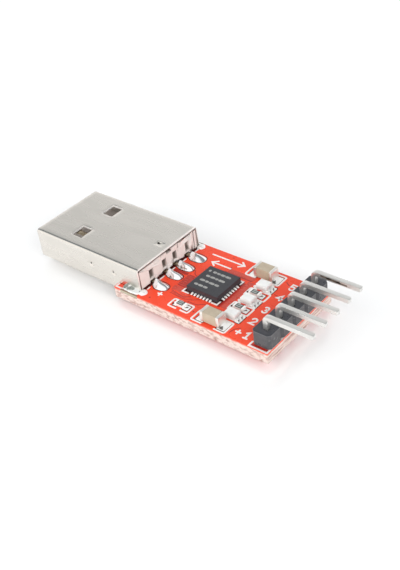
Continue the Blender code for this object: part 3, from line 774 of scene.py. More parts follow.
# %% Surround and lamps
# Each stop: how far a direction leans to the far side, from -1 to 1, and the colour there.
SURROUND_STOPS = [
    (-0.75, (1.14, 1.13, 1.11)),
    (-0.42, (1.0, 1.0, 1.0)),
    (-0.30, (0.18, 0.205, 0.225)),
    (0.0, (0.12, 0.145, 0.165)),
    (0.355, (0.18, 0.205, 0.225)),
    (0.51, (0.57, 0.58, 0.585)),
    (0.694, (0.65, 0.66, 0.665)),
    (0.866, (1.0, 1.0, 1.0)),
]


def surround(stops):
    """A world that is the same all along X. Its colour depends on how far a direction leans to the near or
    the far side when it is seen along X: y divided by the root of y squared plus z squared. To the camera
    itself it is plain white."""
    world = bpy.data.worlds.new("studio_surround")
    bpy.context.scene.world = world
    world.use_nodes = True
    sky = Nodes(world.node_tree)
    inputs = {0: sky.node("TexCoord")["Generated"], 1: (0.0, 1.0, 1.0)}
    flat = sky.node("VectorMath", inputs, operation="MULTIPLY")["Vector"]
    even = sky.node("VectorMath", {0: flat}, operation="NORMALIZE")["Vector"]
    lean = sky.node("SeparateXYZ", {"Vector": even})["Y"]
    share = sky.node("MapRange", {"Value": lean, "From Min": -1.0})["Result"]
    tone = sky.ramp(share, [((place + 1.0) / 2.0, colour) for place, colour in stops])
    white = sky.mix(sky.node("LightPath")["Is Camera Ray"], tone, (1.0, 1.0, 1.0))
    sky.links.new(white, sky.nodes["Background"].inputs["Color"])


def soft_lamp(name, place, side, strength):
    """A square area lamp at a place in millimetres, aimed at the module and left out of reflections."""
    lamp = bpy.data.objects.new(name, bpy.data.lights.new(name, "AREA"))
    bpy.context.scene.collection.objects.link(lamp)
    lamp.data.size = side * MM
    lamp.data.energy = strength
    lamp.visible_glossy = False
    lamp.location = Vector(place) * MM
    lamp.rotation_euler = lamp.location.to_track_quat("Z", "Y").to_euler()
    print(name, strength, "W")


surround(SURROUND_STOPS)
soft_lamp("near_left_lamp", (-220.0, -460.0, 190.0), 520.0, 1.2)
soft_lamp("overhead_lamp", (-150.0, 150.0, 600.0), 520.0, 0.85)
soft_lamp("right_fill_lamp", (480.0, -150.0, 260.0), 420.0, 1.5)

# %% [markdown]
# The board is a sandwich. Glass-fibre laminate shows only at its cut edge, pale and slightly scalloped by
# the cutter. Red solder mask covers both faces. Under the mask lies copper: where it is missing the mask
# looks darker, so tracks show as fine darker and lighter lines. White ink goes on top.
#
# The laminate is a plate whose outline is sampled finely, so a scallop function can nibble its edge. The
# mask is two thin plates, a hair inside that edge.

# %% Laminate and mask
board_low, board_high = corners("circuit_board")
shell_low, shell_high = corners("usb_shell")
chip_low, chip_high = corners("controller_chip")
strip_low, strip_high = corners("header_strip")
BOARD_TOP = board_high[2]
MASK_THICKNESS = 0.02
MASK_INSET = {"top": 0.01, "bottom": 0.1}
MASK_UNDERSIDE = {"top": BOARD_TOP - MASK_THICKNESS, "bottom": board_low[2]}
NOTCH_CLEARANCE = 0.05
NOTCH_X = shell_high[0] + 0.1
BOARD_CORNER_RADIUS = 0.15
LAMINATE_EDGE_RADIUS = 0.03
PIN_HOLE_RADIUS = 0.52
SCALLOP_PITCH = 1.3
SCALLOP_DEPTH = 0.05
SCALLOP_SPACING = 0.08
ON_BOARD = strip_low[2]
PIN_YS = np.array([middle_of(f"header_pin_{n}")[1] for n in range(1, 6)])
PIN_X = (strip_low[0] + strip_high[0]) / 2


def board_outline():
    """The board seen from above: a rectangle less the notch for the plug, with slightly round corners."""
    near, far = shell_low[1] - NOTCH_CLEARANCE, shell_high[1] + NOTCH_CLEARANCE
    square = np.array(
        (
            (board_low[0], board_low[1]),
            (board_high[0], board_low[1]),
            (board_high[0], board_high[1]),
            (board_low[0], board_high[1]),
            (board_low[0], far),
            (NOTCH_X, far),
            (NOTCH_X, near),
            (board_low[0], near),
        )
    )
    return bent(np.vstack([square[-1:], square, square[:1]]), BOARD_CORNER_RADIUS, 4)[1:-1]


def resampled(outline, spacing):
    """A closed outline walked at even steps: each coordinate as a function of the distance run."""
    closed = np.vstack([outline, outline[:1]])
    run = np.concatenate([[0.0], np.cumsum(np.linalg.norm(np.diff(closed, axis=0), axis=1))])
    steps = np.linspace(0.0, run[-1], int(run[-1] / spacing), endpoint=False)
    return np.c_[np.interp(steps, run, closed[:, 0]), np.interp(steps, run, closed[:, 1])], steps


def nibbled(outline):
    """The outline with scallops: moved in by depth times (1 - |sin(pi s / pitch)|)^2 at distance s."""
    fine, run = resampled(outline, SCALLOP_SPACING)
    inner = inwards(fine, 1.0) - fine
    bite = SCALLOP_DEPTH * (1 - np.abs(np.sin(np.pi * run / SCALLOP_PITCH))) ** 2
    return fine + inner * bite[:, None]


pin_holes = [circle(PIN_X, y, PIN_HOLE_RADIUS) for y in PIN_YS]
laminate_low, laminate_high = board_low[2] + MASK_THICKNESS, BOARD_TOP - MASK_THICKNESS
laminate_levels = rounded_levels(laminate_low, laminate_high, LAMINATE_EDGE_RADIUS, 2, True)
laminate = plate(nibbled(board_outline()), laminate_levels, pin_holes)
make("board_laminate", laminate, LAMINATE, ("circuit_board",))

for side, low in MASK_UNDERSIDE.items():
    levels = [(0.0, low), (0.0, low + MASK_THICKNESS)]
    skin = plate(inwards(board_outline(), MASK_INSET[side]), levels, pin_holes)
    make(f"solder_mask_{side}", skin, MASK, ("circuit_board",))

# %% [markdown]
# Next the copper under the mask. Bands where copper is missing are laid down as dark strips that stand a few
# thousandths of a millimetre above the mask, and tracks cross them as thin lines of the lighter mask. Some
# strips
# are painted shadow instead: a dark strip and a muted one beside the chip's right side, and a dark strip
# along the header's near side. The band between the second and third mounds is partly bare laminate, partly
# painted shade.
# Their paths are smooth curves through points read from the photograph, with X counted from the plug's mouth.
# A few tiny pinholes in the mask are dark dots.

# %% Bare bands and tracks under the mask
MOUTH_X = shell_low[0]
UNDER_MASK = BOARD_TOP - 0.01
BARE_TOP = BOARD_TOP + 0.003
MUTED_TOP = BARE_TOP + 0.001
TRACK_TOP = BARE_TOP + 0.004
BARE_LINE_WIDTH = 0.13
TRACK_WIDTH = 0.16
PINHOLE_RADIUS = 0.13


def from_mouth(points):
    """Points (x, y) with x counted from the plug's mouth, moved into the frame."""
    return np.asarray(points, float) + (MOUTH_X, 0.0)


bare_and_shaded_areas = [
    # Painted shadow beside the chip's right side.
    rectangle(29.65, 30.2, -3.0, 2.6, 0.1),
    # Between the second and third mounds: partly bare laminate, partly painted shade.
    rectangle(19.8, 22.3, 0.05, 0.55, 0.1),
    rectangle(22.4, 24.3, -2.2, 0.4, 0.3),
    rectangle(26.0, 30.6, 3.3, 3.5, 0.08),
    *[circle(x, y, PINHOLE_RADIUS, 14) for x, y in ((21.15, -6.15), (25.3, 6.4), (27.9, -5.4), (30.6, 1.55))],
    # Painted shadow along the header's near side.
    rectangle(37.75, 40.2, -6.68, -6.3, 0.05),
]
muted_areas = [
    # Painted shade beside the chip's right side.
    rectangle(30.2, 31.1, -2.9, 3.2, 0.15),
    rectangle(26.4, 30.7, 3.5, 4.25, 0.15),
    rectangle(22.3, 24.2, -3.1, -2.3, 0.2),
]
bare_lines = [
    smooth_path([(22.6, -3.4), (24.6, -3.7), (25.6, -3.2)]),
    smooth_path([(22.8, -3.9), (24.9, -4.05), (26.2, -3.7), (27.0, -3.1)]),
    smooth_path([(26.3, 4.6), (26.6, 4.2), (27.4, 4.05), (29.0, 4.1)]),
    smooth_path([(26.0, -4.2), (27.4, -4.1), (28.2, -3.6), (30.8, -3.4)]),
    smooth_path([(22.6, 1.5), (23.1, 0.8), (24.2, 0.4)]),
    smooth_path([(34.6, 2.7), (35.6, 2.6), (36.4, 2.3)]),
    smooth_path([(34.5, 5.6), (35.2, 5.2), (36.4, 5.0)]),
    smooth_path([(34.9, -4.8), (34.4, -5.4), (34.2, -6.2)]),
]
track_lines = [
    *[[(22.4, y), (24.2, y)] for y in (-1.9, -1.5, -1.1, -0.7, -0.3, 0.1)],
    smooth_path([(22.4, -3.15), (23.6, -3.2), (24.6, -3.4), (25.2, -3.0)]),
    smooth_path([(22.8, -3.65), (24.7, -3.85), (26.0, -3.4)]),
]
skins = [slab(from_mouth(area), UNDER_MASK, BARE_TOP) for area in bare_and_shaded_areas]
skins.append(lines([from_mouth(path) for path in bare_lines], BARE_LINE_WIDTH, UNDER_MASK, BARE_TOP))
make("bare_mask_and_shade_bands", together(skins), BARE_MASK_AND_SHADE, ("circuit_board",))
tracks = [lines([from_mouth(path) for path in track_lines], TRACK_WIDTH, UNDER_MASK, TRACK_TOP)]
tracks += [slab(from_mouth(area), UNDER_MASK, MUTED_TOP) for area in muted_areas]
make("masked_tracks_and_shade", together(tracks), TRACE_MASK_AND_SHADE, ("circuit_board",))

# %% [markdown]
# Pads are where the mask leaves the copper open. Each is a thin tinned plate inside a slightly larger
# dark ring of bare laminate. That thin dark line round bright metal is what makes a board read as a board.
# The four pads of the plug have the plan of the solder mounds that will stand on them, because solder
# spreads over the whole of a pad and stops at its edge.

# %% Plan of the pads under the mounds
PAD_TOP = BOARD_TOP + 0.022
RING_TOP = BOARD_TOP + 0.008
RING_WIDTH = 0.11


def pad_pair(outline):
    """The skins of one pad and of the ring round it."""
    return slab(outline, UNDER_MASK, PAD_TOP), slab(inwards(outline, -RING_WIDTH), UNDER_MASK, RING_TOP)


contact_middles = [middle_of(f"usb_contact_{n}")[1] for n in range(1, 5)]
MOUND_START_X = corners("usb_insulator")[1][0] - 0.09
MOUND_START_WIDTH = 0.46
# Each mound: where its middle starts and ends in Y, half its width, its tip's X, its share of the height,
# and the phase of its ripple.
MOUND_SHAPES = (
    (-3.28, -3.57, 0.84, -0.80, 1.0, 0.0),
    (-0.70, -0.84, 0.74, -0.72, 1.0, 0.4),
    (1.45, 1.40, 0.74, -0.56, 1.0, 1.1),
    (4.02, 3.86, 0.88, -0.52, 0.9, 2.0),
)
MOUND_ROWS = 30


def mound_plan(start_y, end_y, half, tip_x):
    """A mound seen from above: x, middle y and half width at each row. At s of its length the blend
    b = 3 c^2 - 2 c^3, with c = s / 0.45 up to 1, takes the middle from the start to the end place and the
    half width from the narrow start to the full one. The width then shrinks by (1 - s^6)^0.5."""
    s = 1 - (1 - np.linspace(0.0, 1.0, MOUND_ROWS)) ** 1.7
    grown = np.clip(s / 0.45, 0.0, 1.0)
    blend = grown**2 * (3.0 - 2.0 * grown)
    width = (MOUND_START_WIDTH + (half - MOUND_START_WIDTH) * blend) * np.sqrt(1.0 - s**6) + 0.01
    return s, MOUND_START_X + (tip_x - MOUND_START_X) * s, start_y + (end_y - start_y) * blend, width


def mound_pad(shape):
    """The pad under a mound: the mound's own outline, from the notch on, walked counter-clockwise."""
    _, x, y, width = mound_plan(*shape[:4])
    on_board = x > NOTCH_X + 0.06
    x, y, width = x[on_board], y[on_board], width[on_board]
    return np.vstack([np.c_[x, y - width], np.c_[x, y + width][::-1]])


print("solder mounds:", len(MOUND_SHAPES), "from x", round(MOUND_START_X, 2))

# %% [markdown]
# The small parts stand on pads too. Each pad lies under one end of its part and reaches out past it, which
# leaves room for solder. The chip sits in one opening of the mask, which shows as a dark frame round it.

# %% Tinned pads with their dark rings
PAD_MARGIN = 0.04
PAD_RADIUS = 0.08
# How far pads reach past a part's right end, past its left end and under it.
PAD_REACH = {"light": (0.42, 0.06, 0.3), "resistor": (0.55, 0.3, 0.3), "capacitor": (0.75, 0.75, 0.45)}
CHIP_OPENING = 0.1


def end_pads(low, high, right_reach, left_reach, overlap):
    """Two pads under the ends of a part that lies along X."""
    near, far = low[1] - PAD_MARGIN, high[1] + PAD_MARGIN
    return [
        rectangle(low[0] - left_reach, low[0] + overlap, near, far, PAD_RADIUS),
        rectangle(high[0] - overlap, high[0] + right_reach, near, far, PAD_RADIUS),
    ]


def box_round(first, last):
    """The box round a part made of several CAD nodes."""
    return corners(first)[0], corners(last)[1]


part_boxes = {
    "light": [box_round(f"light_{n}_terminal_1", f"light_{n}_terminal_2") for n in (1, 2, 3)],
    "resistor": [box_round(f"resistor_{n}_end_1", f"resistor_{n}_end_2") for n in (1, 2, 3)],
    "capacitor": [box_round(f"{s}_capacitor_end_1", f"{s}_capacitor_end_2") for s in ("near", "far")],
}
pads = [mound_pad(shape) for shape in MOUND_SHAPES]
for kind, boxes in part_boxes.items():
    for low, high in boxes:
        pads += end_pads(low, high, *PAD_REACH[kind])
pad_skins, ring_skins = zip(*[pad_pair(outline) for outline in pads])
opening = rectangle(
    chip_low[0] - CHIP_OPENING, chip_high[0] + CHIP_OPENING,
    chip_low[1] - CHIP_OPENING, chip_high[1] + CHIP_OPENING, CHIP_OPENING,
)
chip_ring = slab(opening, UNDER_MASK, RING_TOP)
make("tinned_pads", together(pad_skins), WHITE_TIN, ())
make("pad_rings", together([*ring_skins, chip_ring]), BARE_RING_AND_SHADE, ("circuit_board",))

# %% [markdown]
# White ink marks where the parts go. Rounded boxes with a break in their long sides go round the
# capacitors and resistors, corner marks round the chip, a long box round the header and a dashed line
# behind the plug. The pins get plain numbers and a plus, made of strokes, and two arrows show that data
# goes both ways. Ink is thin, so each mark is a flat line that stands a little above the mask.

# %% Shapes of the white ink
INK_WIDTH = 0.25
INK_FOOT = BOARD_TOP - 0.005
INK_TOP = BOARD_TOP + 0.018
INK_BEND = 0.25
DIGIT_HEIGHT = 1.1


def broken_box(low_x, high_x, low_y, high_y, gap_start, gap_end):
    """Two brackets, open towards each other, as paths with round corners."""
    left = [(gap_start, high_y), (low_x, high_y), (low_x, low_y), (gap_start, low_y)]
    right = [(gap_end, high_y), (high_x, high_y), (high_x, low_y), (gap_end, low_y)]
    return [bent(left, INK_BEND, 5), bent(right, INK_BEND, 5)]


def corner_mark(x, y, step_x, step_y):
    """An L that runs from a point beside a corner, through the corner, to a point above or below it."""
    return [(x + step_x, y), (x, y), (x, y + step_y)]


DIGITS = {
    1: [[(-0.22, 0.30), (0.05, 0.5), (0.05, -0.5)], [(-0.2, -0.5), (0.3, -0.5)]],
    2: [np.vstack([arc(0.0, 0.2, 0.3, 170, -30, 8), [(-0.32, -0.5), (0.34, -0.5)]])],
    3: [np.vstack([arc(-0.02, 0.24, 0.26, 150, -80, 7), arc(-0.02, -0.24, 0.28, 80, -150, 7)])],
    4: [[(0.15, -0.5), (0.15, 0.5), (-0.34, -0.18), (0.36, -0.18)]],
    5: [np.vstack([[(0.28, 0.5), (-0.25, 0.5), (-0.28, 0.06)], arc(0.0, -0.18, 0.32, 120, -150, 9)])],
}


def digit(number, x, y):
    """The strokes of a digit about a middle. In the table a digit is one high, from -0.5 to 0.5."""
    return [np.asarray(path, float) * DIGIT_HEIGHT + (x, y) for path in DIGITS[number]]


print("digits:", len(DIGITS))

# %% [markdown]
# The marks go where the photograph shows them, with X counted from the plug's mouth. They end as one mesh,
# because one pass of the screen prints them all.

# %% White ink
ink_paths = []
for box in (
    (28.5, 33.75, -6.68, -4.62, 30.1, 32.2),
    (28.72, 33.95, 4.35, 6.42, 30.3, 32.3),
    (31.2, 34.3, 0.72, 2.35, 32.0, 33.0),
    (31.15, 34.2, -2.65, -1.02, 31.9, 32.9),
    (24.2, 27.45, -6.1, -4.6, 25.5, 26.3),
):
    ink_paths += broken_box(*box)
ink_paths += [
    corner_mark(23.98, -2.85, 0.95, 0.6),
    corner_mark(29.62, -2.8, -0.85, 0.7),
    corner_mark(29.62, 2.78, -0.35, -0.65),
    corner_mark(23.98, 2.85, 0.5, -0.5),
    [(15.64, -6.1), (15.64, -6.7), (16.7, -6.7)],
    [(15.64, 6.35), (15.64, 6.7), (16.7, 6.7)],
    [(37.6, -6.0), (37.6, -6.8), (40.25, -6.8), (40.25, 6.7), (37.6, 6.7), (37.6, 6.0)],
    [(21.55, -4.9), (22.15, -4.9)],
    [(21.85, -5.2), (21.85, -4.6)],
    [(34.75, -5.55), (35.45, -5.55)],
    [(35.1, -5.9), (35.1, -5.2)],
]
for number, x, y in ((1, 36.4, -5.5), (2, 35.5, -2.95), (3, 35.5, -0.4), (4, 35.6, 2.55), (5, 35.8, 5.05)):
    ink_paths += digit(number, x, y)
ink_paths += [
    [(22.3, 5.65), (27.7, 5.65)],
    [(27.0, 6.2), (27.7, 5.65), (27.0, 5.1)],
    [(23.3, 4.2), (26.4, 4.2)],
    [(24.0, 4.75), (23.3, 4.2), (24.0, 3.65)],
]
for low, high in ((-4.95, -4.6), (-2.45, -1.75), (0.12, 0.5), (2.35, 2.85), (4.95, 5.7)):
    ink_paths.append([(19.72, low), (19.72, high)])
ink = lines([from_mouth(path) for path in ink_paths], INK_WIDTH, INK_FOOT, INK_TOP)
make("white_ink_marks", ink, INK)

# %% [markdown]
# The plug's shell is one sheet of nickel-plated steel, folded round until its edges meet underneath. So it
# is built as a sheet too: a grid whose columns run round the section and whose rows run from the mouth to
# the rear. Both stand close together where a stamped mark needs them.

# %% Section of the plug's shell
SHEET = 0.3
SHELL_BEND = 0.45
WINDOW_X = (5.2, 7.2)
WINDOW_Y = ((-4.25, -1.85), (1.85, 4.25))
SEAM_WIDTH = 0.05
PLUG_MIDDLE_Y = (shell_low[1] + shell_high[1]) / 2
PLUG_MIDDLE_Z = (shell_low[2] + shell_high[2]) / 2
STATION_STEP = 0.6
SIDE_STATION_STEP = 0.5
FINE_STEP = 0.06
FINE_TOP_Y = (-0.5, 1.2)
FINE_SIDE_Z = (-0.4, 1.0)


def stations(low, high, step, marks=(), fine=()):
    """Even stations from low to high, with exact ones at marks and closer ones inside each fine range."""
    parts = [np.arange(low, high, step), [high], marks]
    parts += [np.arange(start, end, FINE_STEP) for start, end in fine]
    joined = np.unique(np.round(np.concatenate([np.asarray(part, float) for part in parts]), 4))
    keep = np.ones(len(joined), bool)
    keep[1:] = np.diff(joined) > 0.02
    exact = np.isin(joined, np.round([low, high, *marks], 4))
    return joined[keep | exact]


def shell_section():
    """The section's points (y, z) and outward normals, counted counter-clockwise from the near edge of the
    underside, with the face each belongs to. Flats are straight runs, and bends are quarter circles."""
    half_y = (shell_high[1] - shell_low[1]) / 2 - SHELL_BEND
    half_z = (shell_high[2] - shell_low[2]) / 2 - SHELL_BEND
    edges = [value for pair in WINDOW_Y for value in pair]
    seam = [-SEAM_WIDTH / 2, SEAM_WIDTH / 2]
    bottom = stations(-half_y, half_y, STATION_STEP, edges + seam)
    top = stations(-half_y, half_y, STATION_STEP, edges, [FINE_TOP_Y])[::-1]
    side = stations(-half_z, half_z, SIDE_STATION_STEP, (), [FINE_SIDE_Z])
    turn = np.linspace(0.0, np.pi / 2, 9)[1:-1]
    sine, cosine = SHELL_BEND * np.sin(turn), SHELL_BEND * np.cos(turn)
    reach_y, reach_z = half_y + SHELL_BEND, half_z + SHELL_BEND
    runs = [
        ("bottom", np.c_[bottom, np.full(len(bottom), -reach_z)]),
        ("bend", np.c_[half_y + sine, -half_z - cosine]),
        ("far", np.c_[np.full(len(side), reach_y), side]),
        ("bend", np.c_[half_y + cosine, half_z + sine]),
        ("top", np.c_[top, np.full(len(top), reach_z)]),
        ("bend", np.c_[-half_y - sine, half_z + cosine]),
        ("near", np.c_[np.full(len(side), -reach_y), side[::-1]]),
        ("bend", np.c_[-half_y - cosine, -half_z - sine]),
    ]
    section = np.vstack([run for _, run in runs])
    faces = np.concatenate([[name] * len(run) for name, run in runs])
    middle = np.clip(section, (-half_y, -half_z), (half_y, half_z))
    return section, unit(section - middle), faces


shell_points = shell_section()[0]
print("points round the shell's section:", len(shell_points))

# %% [markdown]
# Stamping left a punched mark in the top and round dimples in both sides, and the cut left a burr at the
# rear. Each is worked out as a depth, and the grid moves inwards by it. Cells inside the latch windows and
# along the seam are left out.

# %% Stamped marks and the grid of the sheet
# A punched mark in the top: its place along the plug and across it, how far its slopes reach back, ahead,
# to the near side and to the far side, and its depth.
PUNCHED_MARK = (17.3, 0.55, 0.25, 1.2, 0.85, 0.1, 0.22)
# Round dimples in both sides: place along the plug, and height over the middle.
SIDE_DIMPLES = ((10.5, 0.25), (14.7, 0.3))
SIDE_DIMPLE_RADIUS = 0.40
SIDE_DIMPLE_DEPTH = 0.17
REAR_LEAN = 0.25
REAR_BURR = 0.035
BURR_LENGTH = 0.3
FINE_ROUND_DIMPLE = 0.55
FINE_ROUND_MARK = (16.9, 18.6)
FINE_AT_REAR = 0.36


def punched(x, across):
    """A punched mark with four flat sides: depth times one minus the largest of the four distances from
    its lowest point, each divided by how far that side reaches."""
    place, middle, back, ahead, low, high, depth = PUNCHED_MARK
    slopes = [(place - x) / back, (x - place) / ahead, (middle - across) / low, (across - middle) / high]
    return depth * np.clip(1.0 - np.maximum.reduce(np.broadcast_arrays(*slopes)), 0.0, 1.0)


def dimple(x, across):
    """A round dimple with steep sides and a flat floor: depth times exp(-(distance / radius)^8)."""
    return SIDE_DIMPLE_DEPTH * np.exp(-(((x**2 + across**2) / SIDE_DIMPLE_RADIUS**2) ** 4))


def shell_grid():
    """The sheet's outer surface as rows of points, and the quads that are left once windows and seam go. Over
    the last millimetre the rear edge leans forwards towards the top, by lean times the share of the height,
    and the last part flares out by burr times the square of the way through it."""
    length = shell_high[0] - shell_low[0]
    fine = [(place - FINE_ROUND_DIMPLE, place + FINE_ROUND_DIMPLE) for place, _ in SIDE_DIMPLES]
    fine += [FINE_ROUND_MARK, (length - FINE_AT_REAR, length)]
    x = stations(0.0, length, STATION_STEP, WINDOW_X, fine)[:, None]
    section, normals, faces = shell_section()
    across, up = section.T
    depth = -REAR_BURR * np.clip((x - length) / BURR_LENGTH + 1.0, 0.0, 1.0) ** 2
    depth = depth + punched(x, across) * (faces == "top")
    for place, height in SIDE_DIMPLES:
        depth = depth + dimple(x - place, up - height) * np.isin(faces, ("near", "far"))
    share = up / (shell_high[2] - shell_low[2]) + 0.5
    place_x = shell_low[0] + x - REAR_LEAN * share * np.clip(x - length + 1.0, 0.0, 1.0)
    plan = (PLUG_MIDDLE_Y, PLUG_MIDDLE_Z) + section - normals * depth[..., None]
    points = np.dstack([place_x, plan]).reshape(-1, 3)
    quads = bands(len(x), len(section))
    column = quads % len(section)
    centre_x = x[quads // len(section), 0].mean(axis=1)
    centre_y = across[column].mean(axis=1)
    flat = np.isin(faces[column], ("top", "bottom")).all(axis=1)
    in_window = (centre_x > WINDOW_X[0]) & (centre_x < WINDOW_X[1]) & flat
    in_window &= np.any([(centre_y > low) & (centre_y < high) for low, high in WINDOW_Y], axis=0)
    in_seam = (faces[column] == "bottom").all(axis=1) & (np.abs(centre_y) < SEAM_WIDTH / 2)
    return points, quads[~(in_window | in_seam)]


print("quads in the sheet:", len(shell_grid()[1]))

# %% [markdown]
# Solidify gives the sheet its thickness, with a duller inner face darkened as painted shade, and a fine bevel
# breaks its cut edges.
# Small dark discs lie in the marks as painted shade.

# %% Folded shell
EDGE_BREAK = 0.04
# Places and sizes of the painted shade discs in the punched mark and the side dimples.
SHADE_DISC_OFFSET = (-0.04, -0.02)
SHADE_DISC_RADIUS = 0.2
SIDE_SHADE_OFFSET = (-0.26, -0.04)
SIDE_SHADE_RADIUS = 0.14


def break_edges(piece, angle):
    """Round all edges sharper than an angle by a fine bevel, and level the flats."""
    edge = piece.modifiers.new("broken_edges", "BEVEL")
    edge.width = EDGE_BREAK * MM
    edge.segments = 2
    edge.limit_method = "ANGLE"
    edge.angle_limit = np.radians(angle)
    level_faces(piece)


def folded_shell():
    """The shell as an object: the grid, thickened inwards, with its cut edges broken. Material 0 is outside,
    1 on the cut edges, with painted shade on the rear rim's inner part, and 2 inside, darkened as painted
    shade."""
    points, quads = shell_grid()
    shell = make("plug_shell", (points, [quads]), NICKEL, ("usb_shell",), 50.0, level=False)
    form = bmesh.new()
    form.from_mesh(shell.data)
    bmesh.ops.delete(form, geom=[v for v in form.verts if not v.link_faces], context="VERTS")
    form.to_mesh(shell.data)
    form.free()
    shell.data.materials.append(CUT_STEEL)
    shell.data.materials.append(SHELL_INSIDE_SHADE)
    wall = shell.modifiers.new("sheet", "SOLIDIFY")
    wall.material_offset_rim = 1
    wall.material_offset = 2
    wall.thickness = SHEET * MM
    wall.offset = -1.0
    wall.use_even_offset = True
    break_edges(shell, 60.0)


folded_shell()
# Painted shade: dark discs at the deepest point of the punched mark and in the side dimples.
mark_x = MOUTH_X + PUNCHED_MARK[0] + SHADE_DISC_OFFSET[0]
mark_y = PLUG_MIDDLE_Y + PUNCHED_MARK[1] + SHADE_DISC_OFFSET[1]
mark_floor = shell_high[2] - PUNCHED_MARK[-1]
holes = [slab(circle(mark_x, mark_y, SHADE_DISC_RADIUS, 16), mark_floor - 0.02, mark_floor + 0.11)]
lying, disc_faces = slab(circle(0.0, 0.0, SIDE_SHADE_RADIUS, 14), -0.01, 0.02)
for place, height in SIDE_DIMPLES:
    disc_x, disc_z = MOUTH_X + place + SIDE_SHADE_OFFSET[0], PLUG_MIDDLE_Z + height + SIDE_SHADE_OFFSET[1]
    for sign in (-1.0, 1.0):
        disc_y = PLUG_MIDDLE_Y + sign * ((shell_high[1] - shell_low[1]) / 2 - SIDE_DIMPLE_DEPTH)
        holes.append((lying[:, [0, 2, 1]] * (1.0, sign, 1.0) + (disc_x, disc_y, disc_z), disc_faces))
make("plug_shade_discs", together(holes), SHADE_DISC, ("usb_shell",))

# %% [markdown]
# Inside the shell sits a cream moulding, cut from a rounded block. Booleans suit this, because each cut is a
# plain block. They are applied at once, so the piece ends as an ordinary mesh.


# %% Blocks and cuts
def block(low, high):
    """A plain closed box, as a skin."""
    return slab(rectangle(low[0], high[0], low[1], high[1]), low[2], high[2])


def carve(piece, skins):
    """Cut closed skins out of a piece, and write the result into its mesh."""
    tools = []
    for number, skin in enumerate(skins):
        tool = make(f"tool_{number}", skin, CREAM, body=None)
        step = piece.modifiers.new(f"cut_{number}", "BOOLEAN")
        step.object = tool
        step.solver = "EXACT"
        tools.append(tool)
    bpy.context.view_layer.update()
    carved = bpy.data.meshes.new_from_object(piece.evaluated_get(bpy.context.evaluated_depsgraph_get()))
    piece.modifiers.clear()
    piece.data = carved
    for tool in tools:
        bpy.data.objects.remove(tool, do_unlink=True)


def rounded_block_along_x(low, high, radius, steps=6):
    """A box with its four long edges rounded: a rounded rectangle in Y and Z carried along X."""
    section = rectangle(low[1], high[1], low[2], high[2], radius, steps)
    middle = section.mean(axis=0)
    path = [(low[0], *middle), (high[0], *middle)]
    return bar(path, (0.0, 1.0, 0.0), np.c_[section[:, 0] - middle[0], -(section[:, 1] - middle[1])])


# %% [markdown]
# The cuts are the mouth, room for each contact with a window over it, and the shallow steps of the rear face.
# A contact needs a groove for its blade, a shaft for its leg and a slot for its tail.

# %% Moulded core of the plug
core_low, core_high = corners("usb_insulator")
core_high[0] -= 0.1
MOUTH_DEPTH = 11.8
TONGUE_TOP = 3.45
SLOT_TOP = 4.6
SLOT_FLOOR = 3.12
SLOT_WIDTH = 0.84
SLOT_MIDDLES = (-3.42, -0.80, 1.32, 3.92)
CONTACT_WIDTH = 0.9
CONTACT_TAIL_SHARE = 0.6
CONTACT_THICKNESS = 0.3
CONTACT_SLIP = 0.05
CONTACT_LEG_X = core_high[0] - 2.4
CORE_TOP_GAP = 0.14
CORE_STEP = 0.12
BOARD_LIP = 2.62
PAST = 1.0
# Cuts into the rear face: how deep they go, from where to where in Y, and from where to where in Z. The gap
# under the shell's roof comes first, then the lip over the board, two notches in the top and three steps.
REAR_CUTS = (
    (0.5, core_low[1] - PAST, core_high[1] + PAST, core_high[2] - CORE_TOP_GAP, core_high[2] + PAST),
    (0.15, core_low[1] - PAST, core_high[1] + PAST, core_low[2] - PAST, BOARD_LIP),
    (1.5, -0.20, 0.72, 4.98, 6.0),
    (0.4, 2.4, 2.95, 5.22, 6.0),
    (CORE_STEP, -2.72, -1.35, 4.75, 6.0),
    (CORE_STEP, 1.85, 2.15, 4.35, 6.0),
    (CORE_STEP, 4.95, 5.45, 2.5, 6.0),
)


def contact_cuts(number, y):
    """What makes room for one contact: a groove for its blade, a shaft for its leg, a slot for its tail, and
    the window above that slot."""
    low, high = corners(f"usb_contact_{number}")
    near, far = y - CONTACT_WIDTH / 2 - CONTACT_SLIP, y + CONTACT_WIDTH / 2 + CONTACT_SLIP
    groove_floor = high[2] - CONTACT_THICKNESS - CONTACT_SLIP
    shaft_floor = BOARD_TOP - CONTACT_SLIP
    front = CONTACT_LEG_X - CONTACT_THICKNESS / 2 - CONTACT_SLIP
    back = CONTACT_LEG_X + CONTACT_THICKNESS / 2 + CONTACT_SLIP
    tail_top = low[2] + CONTACT_THICKNESS + 2 * CONTACT_SLIP
    window = SLOT_MIDDLES[number - 1]
    behind = core_high[0] + 0.5
    return [
        block((low[0] - CONTACT_SLIP, near, groove_floor), (front + 0.01, far, SLOT_TOP)),
        block((front, near, shaft_floor), (back, far, SLOT_TOP + 0.001)),
        block((back - 0.01, near, shaft_floor - 0.001), (behind, far, tail_top)),
        block(
            (back - 0.02, window - SLOT_WIDTH / 2, SLOT_FLOOR),
            (behind, window + SLOT_WIDTH / 2, SLOT_TOP - 0.01),
        ),
    ]


core_block = rounded_block_along_x(core_low, core_high, SHELL_BEND - SHEET)
core = make("plug_core", core_block, CREAM, ("usb_insulator",), level=False)
mouth_end = (MOUTH_X + MOUTH_DEPTH, core_high[1] + PAST, core_high[2] + PAST)
cuts = [block((core_low[0] - PAST, core_low[1] - PAST, TONGUE_TOP), mouth_end)]
for number, y in enumerate(contact_middles, 1):
    cuts += contact_cuts(number, y)
for depth, near, far, low_z, high_z in REAR_CUTS:
    cuts.append(block((core_high[0] - depth, near, low_z), (core_high[0] + 0.5, far, high_z)))
carve(core, cuts)
break_edges(core, 40.0)
print("core faces", len(core.data.polygons))

